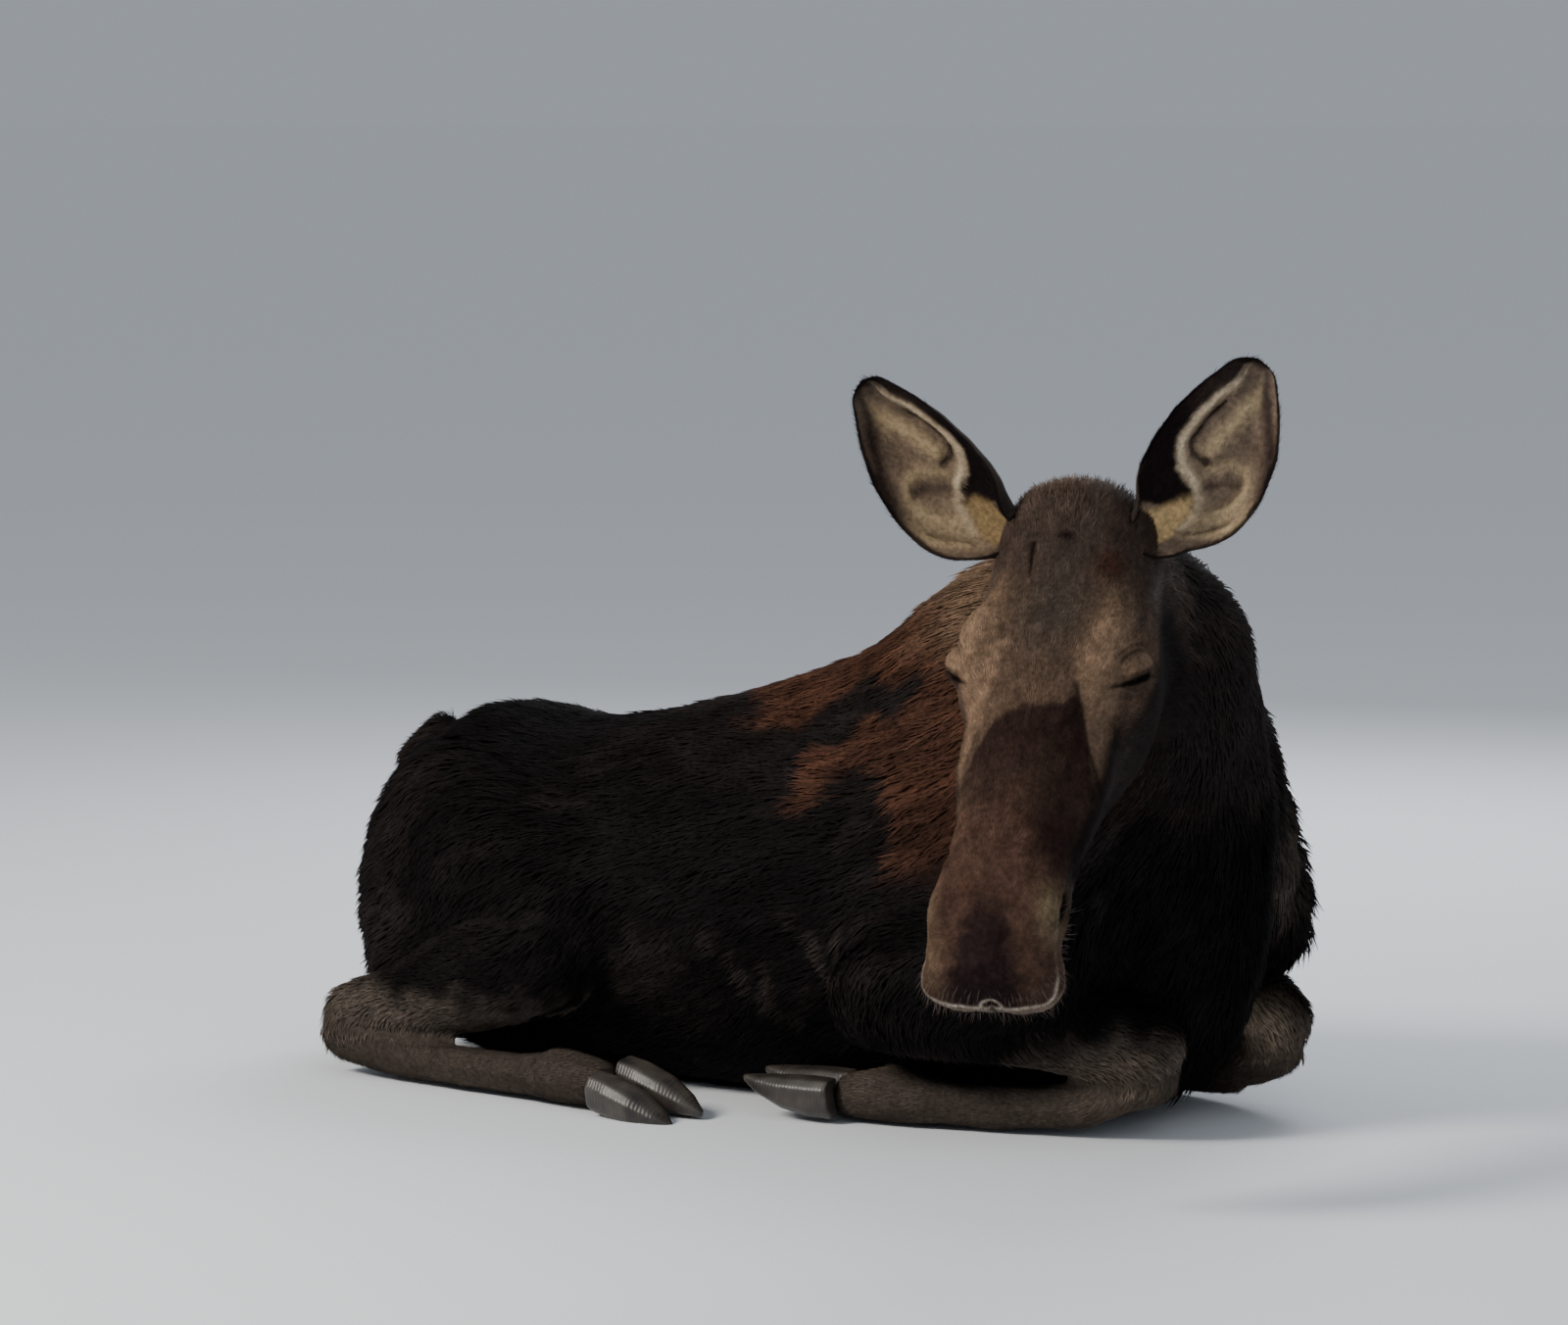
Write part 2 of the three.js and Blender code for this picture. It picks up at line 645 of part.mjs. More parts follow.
// ---------- ears ----------
// Along the ear: share of its length, half width, half turn of its rolled wall in degrees.
const EAR_ROWS = [
  [0, 0.2, 150],
  [0.1, 0.24, 135],
  [0.2, 0.31, 115],
  [0.3, 0.41, 97],
  [0.42, 0.49, 84],
  [0.58, 0.52, 76],
  [0.74, 0.48, 71],
  [0.86, 0.36, 66],
  [0.95, 0.2, 62],
  [1, 0.08, 60],
];
const EAR_WALL = { root: 8, tip: 3.5 };
const EAR_SPLIT = 8; // faces round the rolled wall
function ear(root, bend, tip, opening) {
  const axis = new THREE.QuadraticBezierCurve3(V(...root), V(...bend), V(...tip));
  const points = [];
  for (const [share, half, turn] of EAR_ROWS) {
    const centre = axis.getPoint(share);
    const along = axis.getTangent(share);
    const face = V(...opening);
    face.addScaledVector(along, -face.dot(along)).normalize();
    const side = along.clone().cross(face);
    const roll = radians(turn);
    const radius = (half * EAR_WIDTH) / Math.sin(Math.min(roll, Math.PI / 2));
    const wall = THREE.MathUtils.lerp(EAR_WALL.root, EAR_WALL.tip, share);
    const ring = (r) =>
      Array.from({ length: EAR_SPLIT + 1 }, (_, i) => {
        const a = roll * ((2 * i) / EAR_SPLIT - 1);
        return centre
          .clone()
          .addScaledVector(side, r * Math.sin(a))
          .addScaledVector(face, radius * 0.55 - r * Math.cos(a));
      });
    points.push(...ring(radius), ...ring(radius - wall).reverse());
  }
  const n = 2 * (EAR_SPLIT + 1);
  const faces = [];
  for (let row = 0; row < EAR_ROWS.length - 1; row++)
    for (let i = 0; i < n; i++) {
      const [a, b] = [row * n + i, row * n + ((i + 1) % n)];
      faces.push(a, b, b + n, a, b + n, a + n);
    }
  const last = (EAR_ROWS.length - 1) * n;
  for (let i = 0; i < EAR_SPLIT; i++) {
    const [a, b, c, d] = [i, i + 1, n - 2 - i, n - 1 - i];
    faces.push(b, a, c, c, a, d);
    faces.push(last + a, last + b, last + c, last + a, last + c, last + d);
  }
  const m = solid(points, faces);
  return m.volume() > 0 ? m : solid(points, faces.reverse());
}
const grownHead = grown(headMesh, GAP + 0.1);
const grownNeck = grown(neckMesh, GAP + 0.1).subtract(
  headBox.intersect(halfSpace(headCut.at, headCut.out, GAP + 0.1)),
);
const EARS = {
  left: { root: [26, 76, -56], bend: [0, 138, -54], lean: [-0.8, 0.36, 0.48] },
  right: { root: [26, -76, -56], bend: [6, -150, -54], lean: [-0.54, -0.6, 0.58] },
};
const EAR_OPENING = { left: [0.45, 0.5, 0.74], right: [0.5, -0.5, 0.7] };
for (const [name, { root, bend, lean }] of Object.entries(EARS)) {
  const tip = V(...bend).addScaledVector(V(...lean).normalize(), EAR_LENGTH).toArray();
  const m = ear(inHead(...root), inHead(...bend), inHead(...tip), alongHead(...EAR_OPENING[name]));
  add(`ear_${name}`, largest(m.subtract(grownHead).subtract(grownNeck)), earCoat);
}

// ---------- torso, thighs and tail ----------
const trunkMesh = surfaceNet(flesh, [-1330, -430, -70], [420, 430, 880], TRUNK_CELL);
let torso = largest(trunkMesh.intersect(aboveFloor).subtract(beyondNeckCut));
for (const [name, leg] of Object.entries(hindLegs)) {
  const thigh = largest(torso.intersect(rod(leg.thighZone)));
  torso = largest(torso.subtract(rod(leg.thighZone, GAP)));
  add(`hindleg_${name}_thigh`, thigh, bodyCoat);
}
add("torso", torso, bodyCoat);
const grownTrunk = grown(trunkMesh, GAP + 0.1);

// A net in the box round a limb's joints, with room for its flesh, and the part of a net
// that shows outside the trunk and over the floor.
function limbNet(field, joints, cell = LEG_CELL, room = 115) {
  const box = new THREE.Box3().setFromPoints(joints.map((at) => V(...at))).expandByScalar(room);
  return surfaceNet(field, box.min.toArray(), box.max.toArray(), cell);
}
const outside = (m) => m.intersect(aboveFloor).subtract(grownTrunk);

const tailJoint = (z, proud) => {
  const skin = onSkin([-1500, 0, z], [1, 0, 0], flesh);
  return [skin[0] - proud, 0, z];
};
const tailJoints = [tailJoint(455, 0), tailJoint(410, 14), tailJoint(345, 10)];
const tail = limb([
  [tailJoints[0], 26, 24],
  [tailJoints[1], 24, 20],
  [tailJoints[2], 11, 9],
]);
add("tail", largest(outside(limbNet(tail, tailJoints, TAIL_CELL, 45))), bodyCoat);

// ---------- hooves ----------
// Along a claw: share of its length, half width, reach to the front wall and to the sole.
const HOOF_ROWS = [
  [0, 24, 30, 25],
  [0.25, 27, 27, 28],
  [0.55, 26, 16, 29],
  [0.82, 17, -2, 29],
  [1, 5, -20, 29],
];
const HOOF_SIDES = 8;
const HOOF_SPREAD = 28.5; // half the distance between the two claws of a foot
function hoof(foot, along, sole, offset) {
  const forward = V(...along).normalize();
  const down = V(...sole);
  down.addScaledVector(forward, -down.dot(forward)).normalize();
  const side = down.clone().cross(forward);
  const points = [];
  for (const [share, wide, front, under] of HOOF_ROWS) {
    const middle = (under - front) / 2;
    const tall = (under + front) / 2;
    for (let i = 0; i < HOOF_SIDES; i++) {
      const a = ((i + 0.5) / HOOF_SIDES) * 2 * Math.PI;
      const square = (v) => Math.sign(v) * Math.abs(v) ** 0.7;
      points.push(
        V(...foot)
          .addScaledVector(forward, share * HOOF_LENGTH)
          .addScaledVector(side, offset + wide * square(Math.sin(a)))
          .addScaledVector(down, middle + tall * square(Math.cos(a))),
      );
    }
  }
  const faces = [];
  for (let row = 0; row < HOOF_ROWS.length - 1; row++)
    for (let i = 0; i < HOOF_SIDES; i++) {
      const a = row * HOOF_SIDES + i;
      const b = row * HOOF_SIDES + ((i + 1) % HOOF_SIDES);
      faces.push(a, b, b + HOOF_SIDES, a, b + HOOF_SIDES, a + HOOF_SIDES);
    }
  const last = (HOOF_ROWS.length - 1) * HOOF_SIDES;
  for (let i = 1; i < HOOF_SIDES - 1; i++) faces.push(0, i + 1, i, last, last + i, last + i + 1);
  const m = solid(points, faces);
  return m.volume() > 0 ? m : solid(points, faces.reverse());
}

// ---------- lower limbs ----------
function addFoot(name, leg, cannon) {
  const clear = grown(cannon, GAP + 0.1);
  const claws = { outer: HOOF_SPREAD, inner: -HOOF_SPREAD };
  for (const [claw, offset] of Object.entries(claws)) {
    const m = hoof(leg.foot, leg.footward, leg.sole, offset);
    add(`${name}_hoof_${claw}`, largest(outside(m.subtract(clear))), horn);
  }
}
const foldedLegs = [
  ...Object.entries(foreLegs).map(([side, leg]) => [`foreleg_${side}`, leg, "forearm"]),
  ...Object.entries(hindLegs).map(([side, leg]) => [`hindleg_${side}`, leg, "shank"]),
];
for (const [name, leg, part] of foldedLegs) {
  const upper = limbNet(leg[part], leg.joints[part]);
  add(`${name}_${part}`, largest(outside(upper)), legCoat);
  const withDewclaws = (x, y, z) =>
    leg.dewclaws.reduce((d, claw) => fuse(d, claw(x, y, z), 8), leg.cannon(x, y, z));
  const cannon = limbNet(withDewclaws, leg.joints.cannon);
  add(`${name}_cannon`, largest(outside(cannon.subtract(grown(upper, GAP + 0.1)))), legCoat);
  addFoot(name, leg, cannon);
}

// ---------- placing the origin ----------
const extent = new THREE.Box3().setFromObject(group);
const middle = extent.getCenter(V(0, 0, 0));
for (const mesh of group.children) mesh.geometry.translate(-middle.x, -middle.y, -extent.min.z);

export default group;
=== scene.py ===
"""A cow moose lying at rest, life size: one skin over the whole animal, a coat of mesh tufts
that follow the lie of the hair, and eyes, ears and hooves of their own.

Metres, +Z up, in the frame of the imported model. Distances on the head are in millimetres
from the poll: s toward the nose, l to the animal's left, t out of the face.
"""

import math

import bmesh
import bpy
import numpy as np
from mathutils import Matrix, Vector
from mathutils.bvhtree import BVHTree


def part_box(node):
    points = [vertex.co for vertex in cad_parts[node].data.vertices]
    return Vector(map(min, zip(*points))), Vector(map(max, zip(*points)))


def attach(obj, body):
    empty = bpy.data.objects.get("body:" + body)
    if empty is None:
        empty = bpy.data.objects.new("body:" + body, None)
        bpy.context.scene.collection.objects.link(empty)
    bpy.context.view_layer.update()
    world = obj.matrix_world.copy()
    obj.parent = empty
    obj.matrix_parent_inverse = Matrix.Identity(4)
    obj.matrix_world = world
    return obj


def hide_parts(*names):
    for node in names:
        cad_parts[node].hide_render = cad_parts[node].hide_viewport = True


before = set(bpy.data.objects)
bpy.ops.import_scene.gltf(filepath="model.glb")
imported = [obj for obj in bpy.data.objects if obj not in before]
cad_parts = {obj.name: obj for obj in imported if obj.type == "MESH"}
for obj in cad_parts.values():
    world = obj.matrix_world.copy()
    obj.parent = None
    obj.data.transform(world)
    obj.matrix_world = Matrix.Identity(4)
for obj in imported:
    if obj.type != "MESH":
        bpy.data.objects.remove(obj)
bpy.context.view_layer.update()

SEED = 7
MM = 0.001

SIDES = {"left": 1, "right": -1}

# ---------- places, from the frame ----------
HEAD_PITCH = math.radians(48)  # how far the nose points down
HEAD_HEADING = math.radians(-70)  # which way it points, from +X toward +Y
HEAD_LENGTH = 708
EYES_FROM_POLL = (247, 0, -58.5)
NOSEWARD = np.array(
    [
        math.cos(HEAD_PITCH) * math.cos(HEAD_HEADING),
        math.cos(HEAD_PITCH) * math.sin(HEAD_HEADING),
        -math.sin(HEAD_PITCH),
    ]
)
LEFTWARD = np.array([-math.sin(HEAD_HEADING), math.cos(HEAD_HEADING), 0])
FACEWARD = np.cross(NOSEWARD, LEFTWARD)
HEAD_AXES = np.array([NOSEWARD, LEFTWARD, FACEWARD])


def middle(node):
    low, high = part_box(node)
    return np.array((low + high) / 2)


EYES = (middle("eye_left") + middle("eye_right")) / 2
POLL = EYES - np.array(EYES_FROM_POLL) * MM @ HEAD_AXES


def in_head(points):
    """Places in metres, as millimetres from the poll along the head's axes."""
    return (points - POLL) @ HEAD_AXES.T / MM


def from_head(points):
    """Places on the head, back in metres."""
    return np.asarray(points, float) * MM @ HEAD_AXES + POLL


# ---------- camera, floor and light ----------
CAMERA_FROM_EYES = np.array([4.3647, -6.3324, 0.6907])
CAMERA_AZIMUTH, CAMERA_ELEVATION = math.radians(37), math.radians(5)
LENS, SENSOR = 144, 36
FLOOR_REACH = 800  # far enough for the floor's edge to be the horizon
VIEW_REACH = 1.5 * FLOOR_REACH
LIT = Vector((0, 0, 0.4))  # what the lights point at
# name, place, size, power and colour of each light
LIGHTS = [
    ("key", (-1.9, -4.5, 3.6), 1.8, 380, (1.0, 0.94, 0.86)),
    ("fill", (4.2, -3.0, 2.2), 3.0, 44, (0.92, 0.95, 1.0)),
    ("rim", (-1.2, 3.8, 3.0), 2.6, 120, (0.95, 0.97, 1.0)),
]
FLOOR_COLOUR = (0.74, 0.77, 0.81)
# the wall's colours by height: it meets the floor in the floor's own tone, and is lighter above
WALL = [(0.02, (0.655, 0.71, 0.795)), (0.4, (0.86, 0.9, 0.96))]
WALL_LIGHT = 0.5


def add_camera():
    level = math.cos(CAMERA_ELEVATION)
    back = Vector(
        (
            math.sin(CAMERA_AZIMUTH) * level,
            -math.cos(CAMERA_AZIMUTH) * level,
            math.sin(CAMERA_ELEVATION),
        )
    )
    data = bpy.data.cameras.new("camera")
    data.lens = LENS
    data.sensor_width = SENSOR
    data.clip_end = VIEW_REACH
    camera = placed("camera", data)
    camera.location = Vector(EYES + CAMERA_FROM_EYES)
    aim(camera, -back)
    bpy.context.scene.camera = camera


def placed(name, data):
    """A new object in the scene."""
    piece = bpy.data.objects.new(name, data)
    bpy.context.scene.collection.objects.link(piece)
    return piece


def aim(piece, way):
    piece.rotation_mode = "QUATERNION"
    piece.rotation_quaternion = way.to_track_quat("-Z", "Y")


def add_lights():
    for name, place, size, power, colour in LIGHTS:
        data = bpy.data.lights.new(name, "AREA")
        data.shape = "DISK"
        data.size = size
        data.energy = power
        data.color = colour
        light = placed(name, data)
        light.location = place
        aim(light, LIT - Vector(place))


def add_studio():
    """A plain wall of light all round, over a wide pale floor."""
    world = bpy.data.worlds.new("studio")
    world.use_nodes = True
    tree = world.node_tree
    way = tree.nodes.new("ShaderNodeTexCoord").outputs["Generated"]
    height = add_node(tree, "SeparateXYZ", {"Vector": way}).outputs["Z"]
    light = {"Strength": WALL_LIGHT, "Color": ramp(tree, height, WALL)}
    set_inputs(tree, tree.nodes["Background"], light)
    bpy.context.scene.world = world
    material, tree, shader = node_material("floor")
    set_inputs(tree, shader, {"Base Color": (*FLOOR_COLOUR, 1), "Roughness": 0.85})
    corners = np.array([(-1, -1, 0), (1, -1, 0), (1, 1, 0), (-1, 1, 0)]) * FLOOR_REACH
    new_object("floor", corners, np.arange(4)[None], material, smooth=False)


# ---------- numbers over points ----------
def smoothstep(low, high, x):
    u = np.clip((np.asarray(x, float) - low) / (high - low), 0, 1)
    return u * u * (3 - 2 * u)


def bell(x, width):
    return np.exp(-((np.asarray(x, float) / width) ** 2))


def waves(points, wavelength, seed, count=20):
    """Smooth noise from about -1 to 1: a sum of sine waves in random directions."""
    peak = 1.6  # how far the sum usually reaches, as a share of its spread
    rng = np.random.default_rng(seed)
    directions = rng.normal(size=(count, 3))
    directions /= np.linalg.norm(directions, axis=1)[:, None]
    lengths = wavelength * rng.uniform(0.7, 1.5, count)
    phases = rng.uniform(0, 2 * math.pi, count)
    total = np.zeros(len(points))
    for direction, length, phase in zip(directions, lengths, phases):
        total += np.sin(points @ direction * (2 * math.pi / length) + phase)
    return total / math.sqrt(count / 2) / peak


def distance(points, place):
    return np.linalg.norm(points - place, axis=1)


def unit(vectors):
    return vectors / np.maximum(np.linalg.norm(vectors, axis=-1, keepdims=True), 1e-12)


def square_to(ways, normals):
    """The ways turned until they are square to their normals."""
    return unit(ways - normals * (ways * normals).sum(1)[:, None])


# ---------- meshes as arrays ----------
def read(items, name, width, kind=np.int32):
    """A value of each of a mesh's points, edges or faces, as the rows of an array."""
    out = np.empty(len(items) * width, kind)
    items.foreach_get(name, out)
    return out.reshape(-1, width)


def write(items, name, values, kind=np.float32):
    items.foreach_set(name, np.ascontiguousarray(values, kind).ravel())


def coords(mesh):
    return read(mesh.vertices, "co", 3, np.float32).astype(float)


def triangles_of(mesh):
    mesh.calc_loop_triangles()
    return read(mesh.loop_triangles, "vertices", 3)


def normals_of(points, triangles):
    a, b, c = (points[triangles[:, i]] for i in range(3))
    face = np.cross(b - a, c - a)
    total = np.zeros_like(points)
    for i in range(3):
        for axis in range(3):
            total[:, axis] += np.bincount(triangles[:, i], face[:, axis], len(points))
    return unit(total)


class Net:
    """The edges of a mesh, for averaging values over neighbours."""

    def __init__(self, mesh):
        self.count = len(mesh.vertices)
        self.a, self.b = read(mesh.edges, "vertices", 2).T
        self.degree = np.maximum(self.over_neighbours(np.ones(self.count)), 1)

    def over_neighbours(self, column):
        """The sum of a column's values over each point's neighbours."""
        total = np.bincount(self.a, column[self.b], self.count)
        return total + np.bincount(self.b, column[self.a], self.count)

    def average(self, values):
        columns = values.reshape(self.count, -1).T
        means = [self.over_neighbours(column) / self.degree for column in columns]
        return np.stack(means, axis=1).reshape(values.shape)

    def smooth(self, values, rounds, share=1.0):
        for _ in range(rounds):
            values = values + (self.average(values) - values) * share
        return values


def new_object(name, points, polygons, material=None, smooth=True):
    """A mesh object from an array of points and an array of equal-sided polygons."""
    mesh = bpy.data.meshes.new(name)
    sides = polygons.shape[1]
    mesh.vertices.add(len(points))
    write(mesh.vertices, "co", points)
    mesh.loops.add(polygons.size)
    write(mesh.loops, "vertex_index", polygons, np.int32)
    mesh.polygons.add(len(polygons))
    write(mesh.polygons, "loop_start", np.arange(0, polygons.size, sides), np.int32)
    write(mesh.polygons, "use_smooth", np.full(len(polygons), smooth), bool)
    mesh.update(calc_edges=True)
    if material:
        mesh.materials.append(material)
    return placed(name, mesh)


# ---------- the skin ----------
FLESH = [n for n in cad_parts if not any(word in n for word in ("eye", "ear_", "hoof"))]
VOXEL = 0.0065
FACES_KEPT = 0.72  # of the whole skin's faces, once the body's are thinned
BRIDGE = 0.0015  # the pieces grow by this before they are fused, so that their gaps close
CELLS = 1e5  # per metre: points in one cell are one point
FLOOR_GAP = 0.0005  # how far the skin stays above the floor
# how far the skin lies inside the solids, which give the tips of the coat, in mm
COAT_DEPTH = {
    "head": 3,
    "neck": 10,
    "torso": 9.5,
    "thigh": 9,
    "shank": 5.5,
    "forearm": 5.5,
    "cannon": 3.5,
    "tail": 6,
}
# how much each part's facets are smoothed: wide ones on the trunk, fine forms on the head
SMOOTHING = {
    "torso": 1,
    "neck": 0.8,
    "thigh": 0.8,
    "forearm": 0.6,
    "shank": 0.5,
    "cannon": 0.3,
    "tail": 0.2,
    "head": 0.05,
}
SHARE_ROUNDS = 12  # how softly that changes from part to part
SMOOTH_ROUNDS, SHRINK, GROW = 80, 0.5, 0.52  # growing back after each round keeps the bulk
EASE_ROUNDS, EASE = 220, 0.5
HEAD_ROUNDS, HEAD_SHARE = 4, 0.5
SEAM_ROUNDS = 25  # how softly the coat's depth changes from part to part


def part_of(node):
    """The name of the kind of body part that a node is."""
    return next(word for word in COAT_DEPTH if word in node)


def solid_arrays(node):
    """A node's points, with doubled points joined, and its triangles."""
    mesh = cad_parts[node].data
    points, triangles = coords(mesh), triangles_of(mesh)
    cell = np.round(points * CELLS).astype(np.int64)
    _, first, index = np.unique(cell, axis=0, return_index=True, return_inverse=True)
    return points[first], index.reshape(-1)[triangles]


def applied(piece):
    """A piece's mesh with its modifiers applied; the piece itself goes."""
    graph = bpy.context.evaluated_depsgraph_get()
    mesh = bpy.data.meshes.new_from_object(piece.evaluated_get(graph))
    bpy.data.objects.remove(piece)
    return mesh


def fused_flesh():
    """Every piece of flesh as one closed mesh, and a tree that tells which piece is near."""
    points, triangles, owner = [], [], []
    start = 0
    for node in FLESH + ["eye_left", "eye_right"]:
        p, t = solid_arrays(node)
        points.append(p + normals_of(p, t) * BRIDGE)
        triangles.append(t + start)
        owner += [node if node in FLESH else "head"] * len(t)
        start += len(p)
    points, triangles = np.concatenate(points), np.concatenate(triangles)
    tree = BVHTree.FromPolygons(points.tolist(), triangles.tolist())
    rough = new_object("rough", points, triangles)
    remesh = rough.modifiers.new("fuse", "REMESH")
    remesh.mode = "VOXEL"
    remesh.voxel_size = VOXEL
    return applied(rough), tree, owner


def refine(mesh, inside):
    """Splits in four the faces whose points, in the head's frame, all pass inside(points)."""
    bm = bmesh.new()
    bm.from_mesh(mesh)
    chosen = inside(in_head(coords(mesh)))
    edges = [e for e in bm.edges if chosen[e.verts[0].index] and chosen[e.verts[1].index]]
    bmesh.ops.subdivide_edges(bm, edges=edges, cuts=1, use_grid_fill=True)
    bm.to_mesh(mesh)
    bm.free()


HEAD_FROM, HEAD_LOW = 20, -340  # where the head begins, and what lies under its jaw


def on_head(h):
    """Whether points of the head's frame are the head's or next to it."""
    return (h[:, 0] > HEAD_FROM) & (h[:, 2] > HEAD_LOW)


def thinned(mesh):
    """The mesh with fewer faces where it isn't the head, since forms are wide there."""
    piece = placed("thinned", mesh)
    body = piece.vertex_groups.new(name="body")
    body.add(np.flatnonzero(~on_head(in_head(coords(mesh)))).tolist(), 1, "ADD")
    fewer = piece.modifiers.new("fewer", "DECIMATE")
    fewer.vertex_group = "body"
    fewer.ratio = FACES_KEPT
    return applied(piece)


def eye_frames():
    """Each eye's centre and axes: back along the slit, up to the brow, and out."""
    out = []
    for side, k in SIDES.items():
        outward = unit(np.array([0.12, 0.9 * k, 0.42]))
        slit = np.array([-0.745, 0.324 * k, -0.583])
        slit = unit(slit - outward * (slit @ outward))
        up = np.cross(outward, slit)
        up = up if up[2] > 0 else -up
        out.append((in_head(middle("eye_" + side)), np.array([slit, up, outward])))
    return out


EYE_FRAMES = eye_frames()
EYE_RADIUS = 20
EYE_REACH = 46  # how far from an eye's centre its lids and creases go


def from_eyes(h):
    """How far points are from the nearer eye's centre."""
    return np.minimum(*(distance(h, centre) for centre, _ in EYE_FRAMES))


def on_lids_or_mouth(h):
    """Whether points are round an eye, the lips or a nostril."""
    mouth = on_head(h) & (h[:, 0] > MOUTH_CORNER - 12) & (h[:, 2] < -25)
    return (from_eyes(h) < EYE_REACH) | mouth


KNEE_PAST = 0.62  # how far the knee is past the cannon's middle, as a share of the hoof's way


def cannon_and_hoof(leg):
    """The middles of a leg's cannon and of its two hooves together."""
    hoof = (middle(leg + "_hoof_inner") + middle(leg + "_hoof_outer")) / 2
    return middle(leg + "_cannon"), hoof


def knees():
    """Where each knee of the forelegs is."""
    out = {}
    for side in SIDES:
        cannon, hoof = cannon_and_hoof("foreleg_" + side)
        out[side] = cannon + (cannon - hoof) * KNEE_PAST
    return out


def elbows():
    """The end of each forearm that is away from its knee."""
    return [2 * middle(f"foreleg_{side}_forearm") - knee for side, knee in knees().items()]


THROAT = from_head(np.array([[150.0, 35, -335]]))[0]  # where the jaw meets the neck
# places that are eased into their neighbours, and how far: the elbows and the throat
EASED = [(elbow, 0.13) for elbow in elbows()] + [(THROAT, 0.07)]


def build_skin():
    """The skin's mesh, a tree of the solids' triangles, and the node that owns each."""
    mesh, tree, owner = fused_flesh()
    points = coords(mesh)
    net = Net(mesh)
    parts = [part_of(owner[tree.find_nearest(Vector(p))[2]]) for p in points]
    share = net.smooth(np.array([SMOOTHING[part] for part in parts]), SHARE_ROUNDS)[:, None]
    for _ in range(SMOOTH_ROUNDS):
        points = points + (net.average(points) - points) * SHRINK * share
        points = points - (net.average(points) - points) * GROW * share
    ease = np.max([bell(distance(points, at), reach) for at, reach in EASED], axis=0)
    points = net.smooth(points, EASE_ROUNDS, EASE * ease[:, None])
    depth = net.smooth(np.array([float(COAT_DEPTH[part]) for part in parts]), SEAM_ROUNDS)
    points -= normals_of(points, triangles_of(mesh)) * (depth * MM + BRIDGE)[:, None]
    write(mesh.vertices, "co", points)
    mesh.update()
    refine(mesh, on_head)
    refine(mesh, on_lids_or_mouth)
    shape_head(mesh)
    return thinned(mesh), tree, owner


def shape_head(mesh):
    """Evens out the refined head and sculpts its forms."""
    points = coords(mesh)
    h = in_head(points)
    head = on_head(h)
    net = Net(mesh)
    share = (head * smoothstep(0, 60, h[:, 0]))[:, None] * HEAD_SHARE
    points = net.smooth(points, HEAD_ROUNDS, share)
    h = in_head(points)
    h = sculpt_face(h, normals_of(h, triangles_of(mesh)))
    h = sculpt_eyes(h)
    points = np.where(on_head(in_head(points))[:, None], from_head(h), points)
    points[:, 2] = np.maximum(points[:, 2], FLOOR_GAP)
    write(mesh.vertices, "co", points)
    mesh.update()


SLIT = 26  # half length of the opening between the lids
UPPER, LOWER = 1.8, 2.2  # how far each lid is from the slit's middle
LID_DROP = 3  # how far the slit is below the eye's centre
# each lid's dome: half length, half breadth, how far up its middle is, and its height
UPPER_DOME = (37, 22, 10, 35.5)
LOWER_DOME = (34, 17, -5, 27)
DOME_POWER = 0.35  # low, so that a dome rises steeply at its edge and is flat on top
# creases round the lids: how far up, how much they curve with the slit, depth and width
BROW_CREASE = (31, -0.008, 3.0, 2.8)
HIGH_CREASE = (39, -0.006, 2.2, 2.8)
LOW_CREASE = (-15, 0.012, 2.0, 2.2)
CHEEK_CREASE = (-22, 0.012, 1.2, 2.2)
CREASES = (BROW_CREASE, HIGH_CREASE, LOW_CREASE, CHEEK_CREASE)


def lid_opening(x, y):
    """How far inside the opening of the lids a point is, negative outside."""
    arch = 1 - (x / SLIT) ** 2
    y = y + LID_DROP
    return np.minimum(UPPER * arch - y, y + LOWER * arch)


def from_crease(x, y, crease):
    """How far points are above a crease of the lids."""
    return y - (crease[0] + crease[1] * x**2)


def lid_dome(x, y, dome):
    """How far inside a lid's dome points are, as a share, and the dome's height there."""
    length, breadth, up, height = dome
    share = 1 - (x / length) ** 2 - ((y - up) / breadth) ** 2
    return share, height * np.maximum(share, 0) ** DOME_POWER


def sculpt_eyes(h):
    """Raises the lids over the eyeball, opens the slit and sinks the creases round it."""
    for centre, axes in EYE_FRAMES:
        e = (h - centre) @ axes.T
        near = (np.hypot(e[:, 0], e[:, 1]) < EYE_REACH + 10) & (e[:, 2] > -12)
        x, y, z = e[near].T
        upper_share, upper = lid_dome(x, y, UPPER_DOME)
        lower_share, lower = lid_dome(x, y, LOWER_DOME)
        # the upper lid hangs over the lower one
        over = smoothstep(-0.6, 0.8, y + LID_DROP - UPPER * (1 - (x / SLIT) ** 2))
        lid = np.where(upper_share > 0, upper * over, 0)
        lid = np.maximum(lid, np.where(lower_share > 0, lower * (1 - over), 0))
        top = np.maximum(upper_share, lower_share)
        z = z + np.where(top > 0, np.maximum(lid - z, 0) * smoothstep(0, 0.3, top), 0)
        reach = smoothstep(36, 20, np.abs(x))
        for crease in CREASES:
            z -= crease[2] * bell(from_crease(x, y, crease), crease[3]) * reach
        ball = np.sqrt(np.maximum(EYE_RADIUS**2 - x**2 - y**2, 0))
        z += (ball - 4 - z) * smoothstep(-0.5, 0.9, lid_opening(x, y))
        e[near, 2] = z
        h = np.where(near[:, None], e @ axes + centre, h)
    return h


